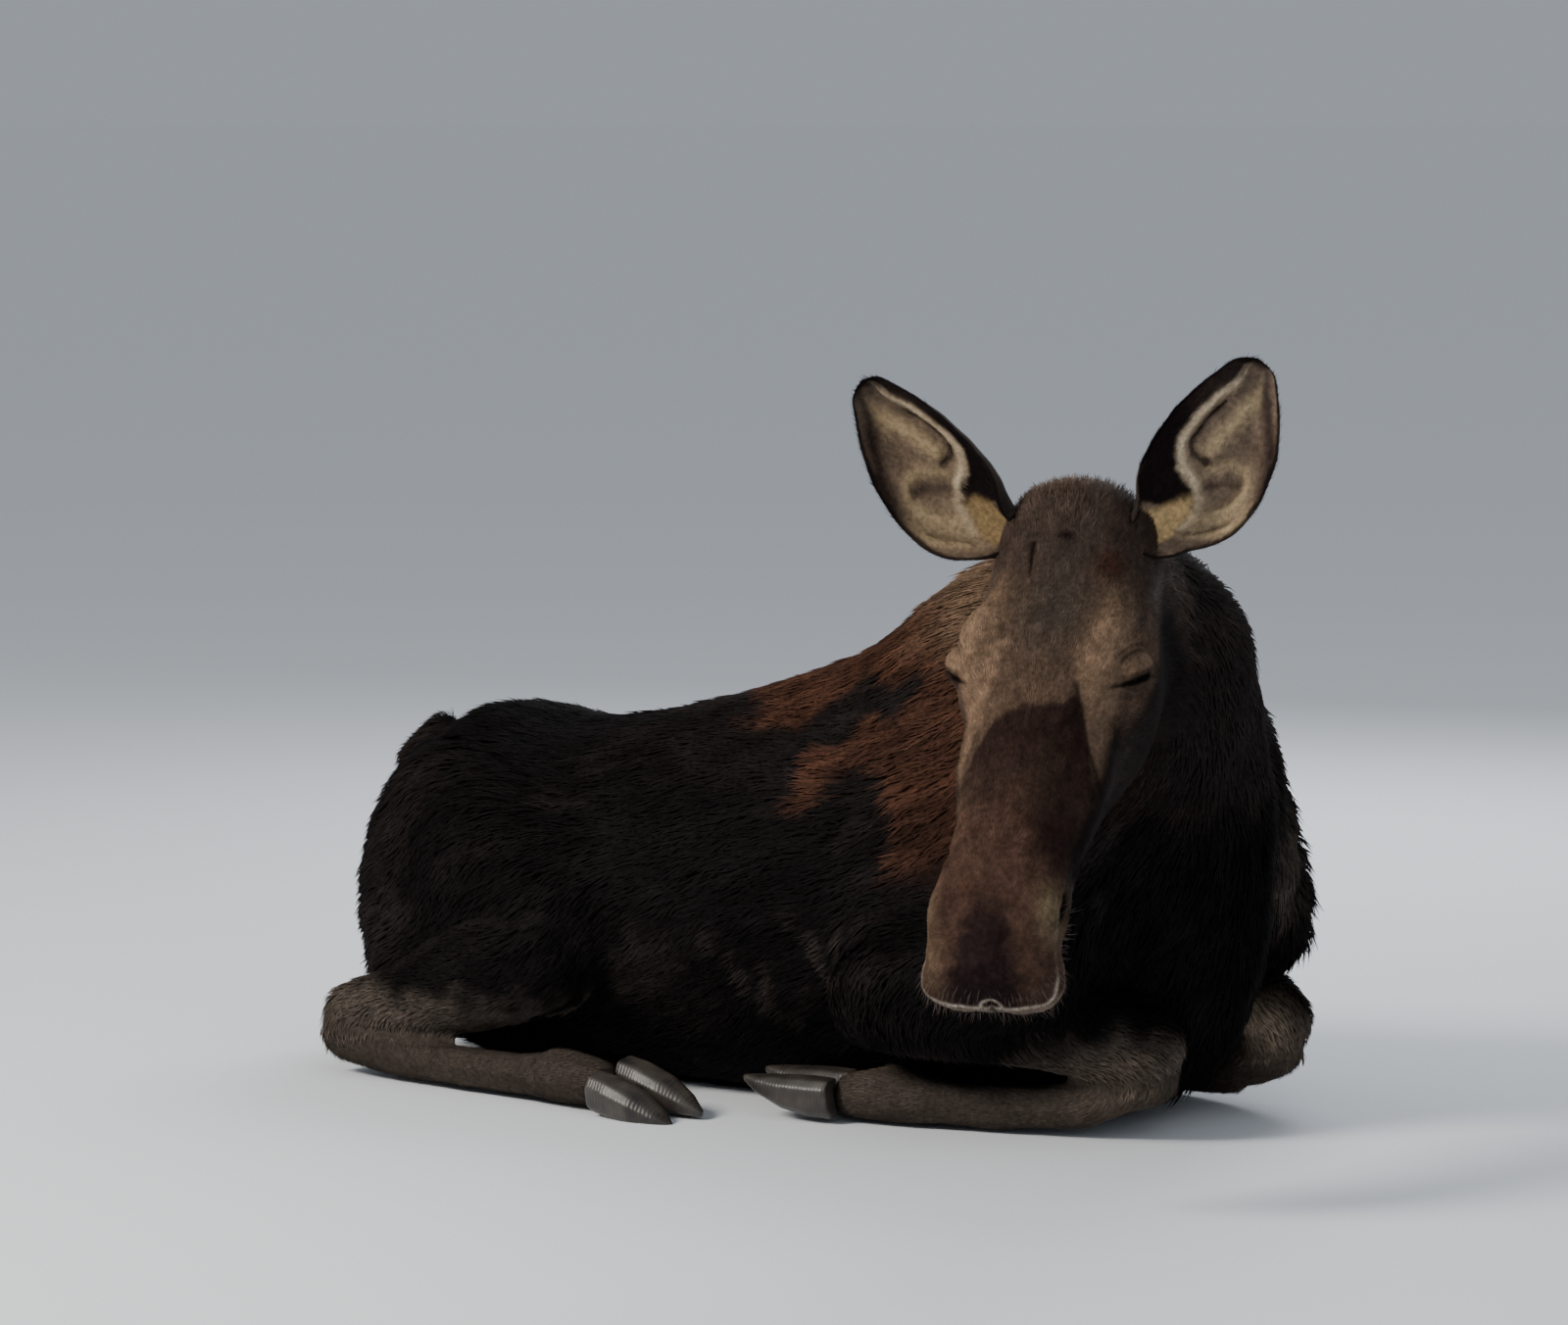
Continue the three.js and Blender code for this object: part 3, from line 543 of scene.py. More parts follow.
# forms that rise from the face or sink into it: middle (s, |l|, t), reach, height
FACE_FORMS = [
    ((222, 82, -6), (34, 17, 26), 5.0),  # brow
    ((150, 94, -24), (32, 18, 26), -4.0),  # temple
    ((300, 92, -34), (26, 14, 18), -3.5),  # hollow before the eye
    ((384, 64, -28), (70, 7, 16), -3.0),  # groove beside the bridge
    ((330, 44, -12), (60, 14, 14), 2.0),  # edge of the bridge
    ((392, 82, -70), (80, 12, 14), 3.0),  # crest of the cheek
    ((560, 62, -22), (16, 20, 16), -2.8),  # hollow above the nostril
    ((560, 90, -92), (22, 14, 20), 5.0),  # outer wing of the nostril
    ((628, 72, -40), (28, 18, 18), 2.5),  # upper lip before the nostril
    ((690, 80, -96), (30, 22, 20), 6.0),  # corner of the muzzle
    ((440, 84, -132), (50, 16, 18), -3.0),  # hollow of the cheek above the lip
    ((185, 76, -165), (75, 40, 50), 6.0),  # muscle of the jaw
    ((312, 80, -150), (24, 22, 40), -4.0),  # hollow before it
]
NOTCH = 4  # where the notch of the upper lip is across the face
MOUTH_CORNER = 493
# the line of the mouth: t at places s along the side of the muzzle
MOUTH_LINE = ((MOUTH_CORNER, 590, 660, HEAD_LENGTH), (-112, -122.5, -129, -134))
NOSTRIL = (HEAD_LENGTH - 112, 80, -58)


def from_furrow(s, l):
    """How far places are across the face from the furrow down the crown."""
    return l + 36 - 0.08 * (s - 106)


def sculpt_face(h, normals):
    """Brows, hollows, the crest of the cheek and the forms of the muzzle."""
    s, l, t = h.T
    mirrored = np.stack([s, np.abs(l), t], axis=1)
    rise = np.zeros(len(h))
    for at, reach, height in FACE_FORMS:
        rise += height * np.exp(-(((mirrored - at) / reach) ** 2).sum(axis=1))
    # folds that run down behind the nostril, and the notch of the upper lip
    fold = bell(s - 528 - 0.25 * (t + 60), 7) - 0.6 * bell(s - 512 - 0.25 * (t + 60), 8)
    rise -= 1.6 * fold * smoothstep(-30, -60, t) * smoothstep(-150, -110, t)
    above = t - np.interp(s, *MOUTH_LINE)
    along = smoothstep(MOUTH_CORNER - 8, MOUTH_CORNER + 10, s)
    rise += along * (1.6 * bell(above - 9, 6) + 1.6 * bell(above + 9, 6) - 4.5 * bell(above, 3.2))
    low_front = smoothstep(HEAD_LENGTH - 26, HEAD_LENGTH - 12, s)
    rise -= 3.0 * bell(l - NOTCH, 3.2) * low_front * bell(t + 104, 12)
    furrow = bell(from_furrow(s, l), 3.5) * smoothstep(70, 82, s) * smoothstep(144, 122, s)
    unevenness = 0.7 * waves(h, 34, 71) * smoothstep(240, 420, s)
    rise += unevenness - 2.2 * furrow
    return h + normals * rise[:, None]


# ---------- the coat's lie, length and colour over the skin ----------
# for each kind of part: spacing, length, width and height of a tuft, in mm
COATS = {
    "head": (2.1, 9, 1.4, 2.0),
    "muzzle": (1.6, 5.5, 1.0, 1.3),
    "neck": (4.2, 40, 2.9, 8.5),
    "torso": (4.6, 34, 3.1, 7.5),
    "thigh": (4.4, 30, 3.0, 7),
    "shank": (3.8, 17, 2.6, 4.2),
    "forearm": (3.8, 18, 2.8, 4.4),
    "cannon": (2.9, 11, 1.9, 2.4),
    "tail": (3.2, 24, 2.6, 5),
}
# which way the hair lies on each part but the legs
LIES = {
    "head": -NOSEWARD,
    "neck": np.array([-0.75, 0.16, -0.6]),
    "torso": np.array([-0.86, 0, -0.46]),
    "thigh": np.array([-0.6, 0, -0.75]),
    "tail": np.array([-0.3, 0, -0.95]),
}


def leg_lie(node):
    """The way from a leg piece's top to its lower end."""
    cannon, hoof = cannon_and_hoof(node.rsplit("_", 1)[0])
    if "cannon" in node:
        return unit(hoof - cannon)
    knee = 2 * cannon - hoof
    return unit(knee - middle(node))


def lie_of(node):
    """Which way the hair lies on a piece of flesh."""
    kind = part_of(node)
    return unit(LIES[kind]) if kind in LIES else leg_lie(node)


def head_lie(h):
    """Hair runs back up the face, down over the cheeks and away from each eye."""
    side = np.sign(h[:, 1])
    low = smoothstep(-40, -130, h[:, 2])
    lip = smoothstep(HEAD_LENGTH - 95, HEAD_LENGTH - 20, h[:, 0])
    way = np.stack(
        [
            -1 + 0.35 * low + 1.1 * lip,
            side * (0.22 - 0.1 * low + 0.35 * lip),
            -0.12 - 0.75 * low - 0.7 * lip,
        ],
        axis=1,
    )
    for centre, _ in EYE_FRAMES:
        off = h - centre
        way += unit(off) * (1.5 * bell(np.linalg.norm(off, axis=1), EYE_REACH))[:, None]
    return unit(way)


LIE_ROUNDS, SIZE_ROUNDS, VALLEY_ROUNDS = 12, 40, 8
TAIL_ROOT = 0.08  # how much of the tail's top has hair that lies as the trunk's


class Skin:
    """The skin's mesh with what the coat needs at each of its points."""

    def __init__(self, mesh, tree, owner):
        self.mesh = mesh
        self.points = coords(mesh)
        self.triangles = triangles_of(mesh)
        self.normals = normals_of(self.points, self.triangles)
        nodes = sorted(FLESH)
        index = {node: i for i, node in enumerate(nodes)}
        near = [tree.find_nearest(Vector(p))[2] for p in self.points]
        self.node = np.array([index[owner[n]] for n in near])
        self.kinds = np.array([part_of(node) for node in nodes])[self.node]
        self.left = np.array(["left" in node for node in nodes])[self.node]
        net = Net(mesh)
        self.lies = self.find_lies(net, np.array([lie_of(node) for node in nodes])[self.node])
        self.size = self.find_sizes(net)

    def find_lies(self, net, lies):
        """Each part's own lie, with soft changes between the parts."""
        head, tail = self.kinds == "head", self.kinds == "tail"
        tail_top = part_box("tail")[1][2]
        lies[tail & (self.points[:, 2] > tail_top - TAIL_ROOT)] = lie_of("torso")
        lies[head] = head_lie(in_head(self.points[head])) @ HEAD_AXES
        for _ in range(LIE_ROUNDS):
            lies = square_to(net.smooth(lies, 3), self.normals)
        return lies

    def find_sizes(self, net):
        """Length, width and height of the tufts at each point, in mm."""
        head = self.kinds == "head"
        h = in_head(self.points)
        table = {kind: COATS[kind][1:] for kind in COATS}
        size = np.array([table[kind] for kind in self.kinds], float)
        size[head & (h[:, 0] > MUZZLE)] = table["muzzle"]
        # shorter where the tail meets the rump, and at the throat
        valley = smoothstep(-0.1, 0.4, self.normals[:, 0]) * (self.kinds == "tail")
        size *= (1 - 0.8 * valley)[:, None]
        size = net.smooth(size, SIZE_ROUNDS)
        size *= (1 - 0.5 * net.smooth(valley, VALLEY_ROUNDS))[:, None]
        size *= (1 - 0.6 * bell(distance(self.points, THROAT), 0.09))[:, None]
        # shortest on the nose and the lids, longer on the crown and the jaw
        fit = 1 + 0.7 * smoothstep(90, 10, h[:, 0]) + 0.6 * smoothstep(-90, -190, h[:, 2])
        fit *= 1 - 0.45 * bell(from_eyes(h), 34)
        return size * np.where(head, fit, 1)[:, None]


# ---------- colours, linear ----------
BLACK_COAT = (0.0048, 0.0041, 0.0041)
GRIZZLE = (0.0145, 0.0115, 0.0105)
RUFOUS = (0.0435, 0.0195, 0.0122)
NECK_TAN = (0.1, 0.065, 0.042)
# painted shade: the dark grey-brown that the neck's rufous and tan coat takes on its left side,
# away from the light
NECK_SHADE = (0.0125, 0.0103, 0.0104)
FLECK = (0.034, 0.027, 0.024)
LEG_COAT = (0.055, 0.044, 0.036)
KNEE_COAT = (0.1, 0.078, 0.06)
KNEE_PALE = (0.26, 0.2, 0.14)
FRINGE = (0.095, 0.08, 0.07)
FACE = (0.085, 0.055, 0.038)
BROW = (0.215, 0.14, 0.09)
CROWN = (0.049, 0.0345, 0.0275)
GREY_PATCH = (0.052, 0.04, 0.0315)
RED_PATCH = (0.052, 0.0235, 0.0165)
DARK_MARK = (0.009, 0.005, 0.0045)
BRIDGE_COAT = (0.0215, 0.0118, 0.0102)
NOSE_SIDE = (0.064, 0.0355, 0.0255)
NOSE_DARK = (0.0165, 0.0098, 0.01)
OLIVE = (0.2, 0.15, 0.088)
WING = (0.075, 0.058, 0.05)
# the dark coat of the cheeks and the jaw, darkened to near black as painted shade
CHEEK_IN_SHADE = (0.0044, 0.0032, 0.0033)
LIP = (0.17, 0.135, 0.105)
# pale hair of the lips, and the painted rim light along the muzzle's lower edge
PALE_LIP_AND_RIM_LIGHT = (0.44, 0.37, 0.3)
# the dark edges of the lids and the lashes, and the colour of the painted shade under the upper lid
# and in the nostrils
DARK_LID_EDGE_AND_SHADE = (0.007, 0.005, 0.0046)
DARKEST = 0.002


def paint(colour, *strokes):
    """The colour after strokes, each a share and the tone it goes toward."""
    for share, tone in strokes:
        colour = colour + (np.asarray(tone) - colour) * np.clip(share, 0, 1)[:, None]
    return colour


def plain(tone, count):
    return np.tile(np.array(tone), (count, 1))


def spot(x, y, at, reach):
    return np.exp(-(((x - at[0]) / reach[0]) ** 2) - ((y - at[1]) / reach[1]) ** 2)


# the edge of the rufous coat on the side of the trunk and the neck, in x and z; its dark inlets are
# partly dark mane, partly a painted shadow of the ear and head
RUFOUS_EDGE = [
    *[(-0.2, 0.62), (-0.155, 0.545), (-0.09, 0.518), (-0.053, 0.492), (0, 0.51)],
    *[(0.072, 0.54), (0.124, 0.573), (0.174, 0.592), (0.24, 0.585), (0.235, 0.552)],
    *[(0.172, 0.53), (0.098, 0.495), (0.048, 0.468), (0.04, 0.405), (0.099, 0.424)],
    *[(0.122, 0.456), (0.159, 0.47), (0.192, 0.452), (0.208, 0.388), (0.2, 0.3)],
    *[(0.26, 0.2), (0.9, 0.2), (0.9, 1.2), (-0.2, 1.2)],
]
# middles (x, z) and reaches of the flecked places behind the elbow
FLECKS = [((-0.09, 0.2), (0.13, 0.05)), ((0.1, 0.2), (0.11, 0.06))]


def distance_to(x, y, path):
    """How far each place is from a line through the points of a path."""
    near = np.full(np.shape(x), np.inf)
    for start, end in zip(np.array(path), np.array(path[1:])):
        way = end - start
        u = np.clip(((x - start[0]) * way[0] + (y - start[1]) * way[1]) / (way @ way), 0, 1)
        near = np.minimum(near, np.hypot(x - start[0] - u * way[0], y - start[1] - u * way[1]))
    return near


def depth_inside(x, y, outline):
    """How far each place is inside a closed outline, negative outside it."""
    inside = np.zeros(np.shape(x), bool)
    for (x0, y0), (x1, y1) in zip(outline, outline[1:] + outline[:1]):
        if y0 != y1:
            inside ^= ((y0 > y) != (y1 > y)) & (x < x0 + (y - y0) * (x1 - x0) / (y1 - y0))
    near = distance_to(x, y, outline + outline[:1])
    return np.where(inside, near, -near)


def streaks(p, width, seed):
    """Noise drawn out along the hair of the trunk."""
    way = lie_of("torso")
    return waves(p - 0.86 * (p @ way)[:, None] * way, width, seed)


def body_colour(p):
    """Black, with the rufous and tan coat of the shoulder and neck."""
    x, _, z = p.T
    drift = waves(p, 0.34, 11)
    wide, fine = streaks(p, 0.05, 12), streaks(p, 0.016, 13)
    x, z = x + 0.012 * waves(p, 0.09, 14), z + 0.012 * waves(p, 0.09, 15)
    colour = paint(
        plain(BLACK_COAT, len(p)),
        (0.5 * smoothstep(0.2, 1.3, drift + 0.5 * wide), GRIZZLE),
        (0.45 * smoothstep(0.36, 0.56, z) * smoothstep(-0.5, -0.1, x), GRIZZLE),
    )
    x = x + 0.035 * waves(p, 0.13, 17) * smoothstep(0.54, 0.6, z)
    warm = smoothstep(-0.013, 0.013, depth_inside(x, z, RUFOUS_EDGE) + 0.004 * fine)
    # painted shadow of the head: at the front of the neck, under the head, the black coat reaches
    # higher
    front = 0.14 * smoothstep(0.34, 0.5, x)
    warm *= smoothstep(0.28 + front, 0.43 + front, z + 0.04 * drift + 0.012 * wide)
    tan = smoothstep(0.59, 0.68, z + 0.01 * wide) * smoothstep(0.12, 0.24, x + 0.01 * wide)
    colour = paint(colour, (warm * (0.9 + 0.1 * wide), RUFOUS), (0.85 * tan, NECK_TAN))
    colour *= np.exp(0.18 * wide + 0.25 * fine * (0.3 + 0.7 * warm))[:, None]
    flecks = np.max([spot(x, z, *fleck) for fleck in FLECKS], axis=0)
    flecks *= smoothstep(0.1, 1.1, waves(p * (1, 1, 0.5), 0.05, 16))
    # painted shade: on the neck's left side, away from the light, the rufous and tan coat is
    # painted dark grey-brown
    shaded_far_side = smoothstep(-0.03, 0.1, (p - POLL) @ LEFTWARD + 0.02 * wide)
    shaded_far_side *= smoothstep(0, 0.3, np.maximum(warm, tan))
    shoulder = spot(p[:, 1], z, (0.42, 0.31), (0.05, 0.08)) * smoothstep(0.46, 0.54, x)
    # longer pale hair under the root of each ear, on the side of the neck
    s, l, t = in_head(p).T
    fringe = spot(s, t, (42, -138), (50, 38)) * smoothstep(84, 104, np.abs(l))
    return paint(
        colour,
        (0.85 * flecks, FLECK),
        (0.94 * shaded_far_side, NECK_SHADE),
        (shoulder * (0.85 + 0.3 * fine), LEG_COAT),
        (0.85 * fringe * (1 + 0.3 * fine), FRINGE),
    )


KNEE_REACH = 0.085
PALE_KNEE = (0.565, 0.305, 0.118)  # the middle of the left knee's pale patch
PALE_REACH = 0.04


def leg_colour(p, kinds):
    """Black down to the knee and the hock, with grey-brown below them."""
    colour = body_colour(p)
    drift = waves(p, 0.12, 21)
    height = p[:, 2] + 0.012 * drift + 0.01 * waves(p, 0.04, 22)
    low = smoothstep(0.155, 0.095, height)
    colour[kinds == "cannon"] = LEG_COAT
    for knee in knees().values():
        away = distance(p, knee)
        upper = (kinds == "forearm") * smoothstep(2.0, 1.1, away / KNEE_REACH + 0.2 * drift)
        cap = bell(away, KNEE_REACH) * low * (0.8 + 0.2 * drift)
        colour = paint(colour, (upper * low, LEG_COAT), (cap, KNEE_COAT))
    return paint(
        colour,
        (0.95 * bell(distance(p, PALE_KNEE), PALE_REACH), KNEE_PALE),
        ((kinds == "shank") * low, LEG_COAT),
    )


# where the dark coat of the bridge begins, as s at places l across the face, and ends
BRIDGE_START = (
    (-90, -66, -42, -13, 41, 53, 62, 75, 86, 95),
    (450, 384, 341, 326, 318, 300, 330, 372, 398, 430),
)
BRIDGE_END = ((-70, -40, -20, 0, 30, 60), (440, 478, 480, 462, 500, 560))
# the dark line along its left edge, as l at places s
BRIDGE_LINE = ((284, 303, 370, 394, 425), (50, 55, 75, 86, 93))
# marks on the face: middle (s, l), reach, share and colour
FACE_MARKS = [
    ((192, 10), (60, 50), 1.1, GREY_PATCH),
    ((130, 8), (48, 26), 0.8, GREY_PATCH),
    ((104, 62), (25, 17), 0.95, RED_PATCH),
    ((70, 2), (7, 12), 1.1, DARK_MARK),
    ((505, -32), (40, 24), 0.5, NOSE_SIDE),
    ((640, -52), (40, 16), 0.35, BRIDGE_COAT),
    ((447, -30), (24, 16), 0.4, BRIDGE_COAT),
    ((592, -30), (22, 12), 0.35, RED_PATCH),
    ((456, 2), (24, 13), 0.5, NOSE_SIDE),
    ((612, 72), (32, 13), 0.85, OLIVE),
    ((612, -76), (30, 10), 0.3, OLIVE),
    ((684, -66), (34, 16), 0.25, OLIVE),
]


def face_marks(colour, s, l, t, fine):
    """The tan strips beside the bridge, partly a painted highlight on the crests, the dark bridge
    and the marks of the forehead.
    """
    a = np.abs(l)
    brow = spot(s, a, (214, 90), (64, 28)) * smoothstep(-66, -24, t)
    brow = np.maximum(brow, 0.7 * spot(s, a, (156, 78), (34, 18)))
    # the tan strip down each crest of the face: partly tan hair, partly a painted highlight where
    # the crest catches the light
    breadth = np.maximum(24 - 0.15 * (s - 289), 3)
    strip = smoothstep(1.2, 0.7, np.abs(a - (76 + 0.1 * (s - 289)) + 2 * fine) / breadth)
    strip *= smoothstep(215, 255, s) * smoothstep(420, 385, s) * smoothstep(-80, -50, t)
    start, end = np.interp(l, *BRIDGE_START), np.interp(l, *BRIDGE_END)
    bridge = smoothstep(-7, 9, s - start + 4 * fine) * smoothstep(40, -40, s - end + 10 * fine)
    bridge *= smoothstep(-78, -48, t) * (0.96 - 0.22 * smoothstep(350, 450, s))
    line = bell(l - np.interp(s, *BRIDGE_LINE), 3) * smoothstep(282, 300, s)
    line *= smoothstep(428, 400, s)
    on_top = smoothstep(-96, -60, t)
    furrow = bell(from_furrow(s, l), 1.6 + 2.0 * smoothstep(135, 85, s))
    return paint(
        colour,
        (np.maximum(brow, 0.6 * strip) * (1 + 0.08 * fine), BROW),
        (bridge, BRIDGE_COAT),
        (0.85 * line, DARK_MARK),
        *[(share * spot(s, l, at, reach) * on_top, tone) for at, reach, share, tone in FACE_MARKS],
        (furrow * smoothstep(72, 80, s) * smoothstep(142, 122, s), DARK_MARK),
    )


def muzzle_marks(colour, s, l, t, fine):
    """The dark middle of the muzzle, the pale edge of its lips, partly a painted rim light, and
    painted shade in the line of the mouth.
    """
    a = np.abs(l)
    dark = smoothstep(575, 655, s + 5 * fine)
    dark *= smoothstep(1.35, 0.6, (np.abs(l + 1) + 3 * fine) / (13 + 0.27 * (s - 580).clip(0)))
    wing = spot(s, t, (556, -88), (26, 22)) * smoothstep(60, 76, a)
    # the lips, on both sides of the line of the mouth
    above = t - np.interp(s, *MOUTH_LINE)
    edge = np.where(above > 0, 34, 24) * smoothstep(-20, 150, s - MOUTH_CORNER) + 2
    lips = smoothstep(edge, edge - 6, above) * smoothstep(-edge, 6 - edge, above)
    lips *= smoothstep(MOUTH_CORNER - 6, MOUTH_CORNER + 14, s)
    # the pale rim along the lower front of the muzzle, partly pale lip hair and partly a painted
    # rim light, and the notch in its middle
    below = t + 27 + 0.6 * (s - 588)
    front = smoothstep(HEAD_LENGTH - 16, HEAD_LENGTH - 6, s)
    beside = smoothstep(58, 72, a)
    # the painted rim light is stronger on the right side, which faces the light
    side_edge = beside * smoothstep(596, 640, s) * np.where(l > 0, 0.15, 0.6)
    side_edge = np.maximum(side_edge, smoothstep(660, 690, s))
    rim = bell(below + 1.5, 3.0) * side_edge * np.maximum(beside, front)
    arch = bell(np.hypot(l - NOTCH, (below - 2) * 1.5) - 13, 2.2) * (below > 0) * front
    return paint(
        colour,
        (0.95 * dark, NOSE_DARK),
        (0.8 * wing, WING),
        ((0.75 - 0.35 * (above < 0)) * lips, LIP),
        (0.9 * rim, PALE_LIP_AND_RIM_LIGHT),
        # painted shade in the crease of the mouth
        (0.9 * bell(above, 2.6) * lips, DARK_MARK),
        (0.8 * arch, PALE_LIP_AND_RIM_LIGHT),
        (0.9 * spot(l, below, (NOTCH, 3), (8, 4)) * front, DARK_MARK),
        (0.95 * bell(l - NOTCH, 1.8) * smoothstep(0, -3, below) * front, DARK_MARK),
    )


def lid_marks(colour, h):
    """Dark edges of the lids, painted shade under the upper lid and in the creases, the upper lid's
    tan dome, partly a painted highlight, and the track of the tears.
    """
    for centre, axes in EYE_FRAMES:
        x, y, out = ((h - centre) @ axes.T).T
        near = smoothstep(8, 15, out) * smoothstep(SLIT + 12, SLIT, np.abs(x))
        opening = lid_opening(x, y)
        # painted shade under the overhanging upper lid, beside the lids' dark edges
        shade = 0.6 * bell(opening + 3, 7) * (y > -LID_DROP) + bell(opening + 1, 2.4)
        tear = bell(y + LID_DROP + 0.16 * (x + SLIT), 3) * smoothstep(-20, -28, x)
        tear *= smoothstep(-60, -40, x) * smoothstep(0, 8, out)
        colour = paint(
            colour,
            (near * 0.97 * shade, DARK_LID_EDGE_AND_SHADE),
            # painted shade in the creases round the lids
            (0.6 * near * bell(from_crease(x, y, BROW_CREASE), 3), DARK_MARK),
            # the upper lid's dome in tan: partly tan hair, partly a painted highlight
            (0.8 * near * smoothstep(6, 12, y) * smoothstep(30, 22, y), BROW),
            (0.4 * near * bell(from_crease(x, y, HIGH_CREASE), 2.6), DARK_MARK),
            (0.5 * near * bell(from_crease(x, y, LOW_CREASE), 2.6), DARK_MARK),
            (0.55 * near * smoothstep(-6, -9, y) * smoothstep(-24, -16, y), CROWN),
            (0.9 * tear, DARK_MARK),
        )
    return colour


def from_nostril(h, reach):
    """How far points are from the nearer nostril, as a share of its reach."""
    mirrored = np.stack([h[:, 0], np.abs(h[:, 1]), h[:, 2]], axis=1)
    return np.linalg.norm((mirrored - NOSTRIL) / reach, axis=1)


def head_colour(h):
    s, l, t = h.T
    a = np.abs(l)
    drift, fine = waves(h, 70, 31), waves(h, 22, 32)
    lower = smoothstep(425, 500, s + 14 * drift)
    colour = paint(
        plain(FACE, len(h)),
        (smoothstep(200, 90, s + 12 * drift), CROWN),
        (0.95 * lower, NOSE_SIDE),
        (0.55 * lower * smoothstep(10, 60, l) * smoothstep(560, 520, s), BRIDGE_COAT),
    )
    colour = face_marks(colour, s, l, t, fine)
    # painted shade: the cheeks and the underside of the jaw, dark in coat, are painted near black
    # as in shade
    under = smoothstep(-46, -80, t) * smoothstep(250, 300, s + 0.3 * t)
    under = np.maximum(under, smoothstep(-74, -110, t))
    beside = smoothstep(76, 86, a - 0.04 * (s - 420)) * smoothstep(392, 424, s)
    under = np.maximum(under, 0.85 * beside * smoothstep(560, 530, s))
    under *= smoothstep(HEAD_LENGTH - 70, HEAD_LENGTH - 150, s) * smoothstep(40, 110, s)
    temple = bell(a - 108 - 0.06 * (s - 160), 5) * smoothstep(120, 150, s)
    temple *= smoothstep(214, 196, s) * smoothstep(-70, -40, t)
    fringe = spot(s, t, (88, -88), (34, 22)) * smoothstep(90, 106, a)
    colour = paint(
        colour,
        (0.92 * under, CHEEK_IN_SHADE),
        (0.7 * spot(s, t, (330, -122), (60, 34)) * under, FLECK),
        (0.5 * temple, DARK_MARK),
        (0.85 * fringe, FRINGE),
    )
    colour = lid_marks(muzzle_marks(colour, s, l, t, fine), h)
    colour *= np.exp(0.08 * fine + 0.1 * waves(h * (0.35, 1, 1), 9, 33))[:, None]
    # painted shade in the hollows of the nostrils
    return paint(colour, (smoothstep(1.15, 0.8, from_nostril(h, (27, 22, 13))), DARK_LID_EDGE_AND_SHADE))


def coat_colour(p, kinds):
    """The coat's colour at each place; kinds gives the kind of part it is on."""
    out = body_colour(p)
    legs = np.isin(kinds, ("cannon", "forearm", "shank"))
    if legs.any():
        out[legs] = leg_colour(p[legs], kinds[legs])
    h = in_head(p)
    # the face's colours fade into the neck's behind the jaw and the ears
    share = smoothstep(-46, 26, h[:, 0]) * smoothstep(-330, -215, h[:, 2])
    share *= kinds == "head"
    some = share > 0
    out[some] = paint(out[some], (share[some], head_colour(h[some])))
    mottle = 1 + 0.1 * waves(p, 0.03, 41)[:, None]
    return np.clip(out * mottle, DARKEST, 1)


# ---------- tufts ----------
TRIES = 1.9  # places tried for each cell of the spacing's size, of which one stays
# how far along a tuft its rings are and how broad it is there, by its number of rings
RINGS = {
    1: [(0, 0.7)],
    2: [(0, 0.7), (0.42, 1)],
    3: [(0, 0.7), (0.3, 1), (0.66, 0.72)],
}
RIDGE = 0.34  # the height of a tuft's ridge, as a share of its width
SUNK = 0.0012  # how far its root is below the skin
BEND = 0.1  # how much tufts bend sideways, as a share of their length
TUFT_GAP = 0.0012  # how far tufts stay above the floor
CHART_GAP = 0.006  # half the gap between two charts, before they are scaled to the square
ROOM = 1.15  # the charts' rows are this much wider than a square of their areas
PATCH = 0.003  # how wide a tuft is on its piece's map
SOFT = 0.72  # how far a tuft is shaded as the skin under it
SEEN = 0.6  # how far along a tuft its colour is looked up
# painted shade deep in the coat: each tuft is painted darker at its root, lighter toward its tip
ROOT_SHADE, TIP_SHADE, EAR_TIP_SHADE = 0.7, 1.35, 1.25
TINT_SPREAD = 0.13  # from tuft to tuft


class Roots:
    """Places spread evenly over a surface: each one's triangle and its corners' weights."""

    def __init__(self, points, triangles, spacing, chosen, rng):
        kept = triangles[chosen[triangles].all(axis=1)]
        a, b, c = (points[kept[:, i]] for i in range(3))
        area = np.linalg.norm(np.cross(b - a, c - a), axis=1) / 2
        count = int(area.sum() / spacing**2 * TRIES)
        self.corners = kept[rng.choice(len(kept), count, p=area / area.sum())]
        u, v = rng.random(count), rng.random(count)
        flip = u + v > 1
        u[flip], v[flip] = 1 - u[flip], 1 - v[flip]
        self.weights = np.stack([1 - u - v, u, v], axis=1)
        cell = np.floor(self.take(points) / spacing).astype(np.int64)
        _, first = np.unique(cell, axis=0, return_index=True)
        self.keep(np.sort(first))

    def keep(self, chosen):
        self.corners, self.weights = self.corners[chosen], self.weights[chosen]

    def take(self, values):
        """The surface's values at these places."""
        return (values[self.corners] * self.weights[:, :, None]).sum(axis=1)


def turned(way, normal, angle):
    """Turns each way about its normal."""
    side = np.cross(normal, way)
    return way * np.cos(angle)[:, None] + side * np.sin(angle)[:, None]


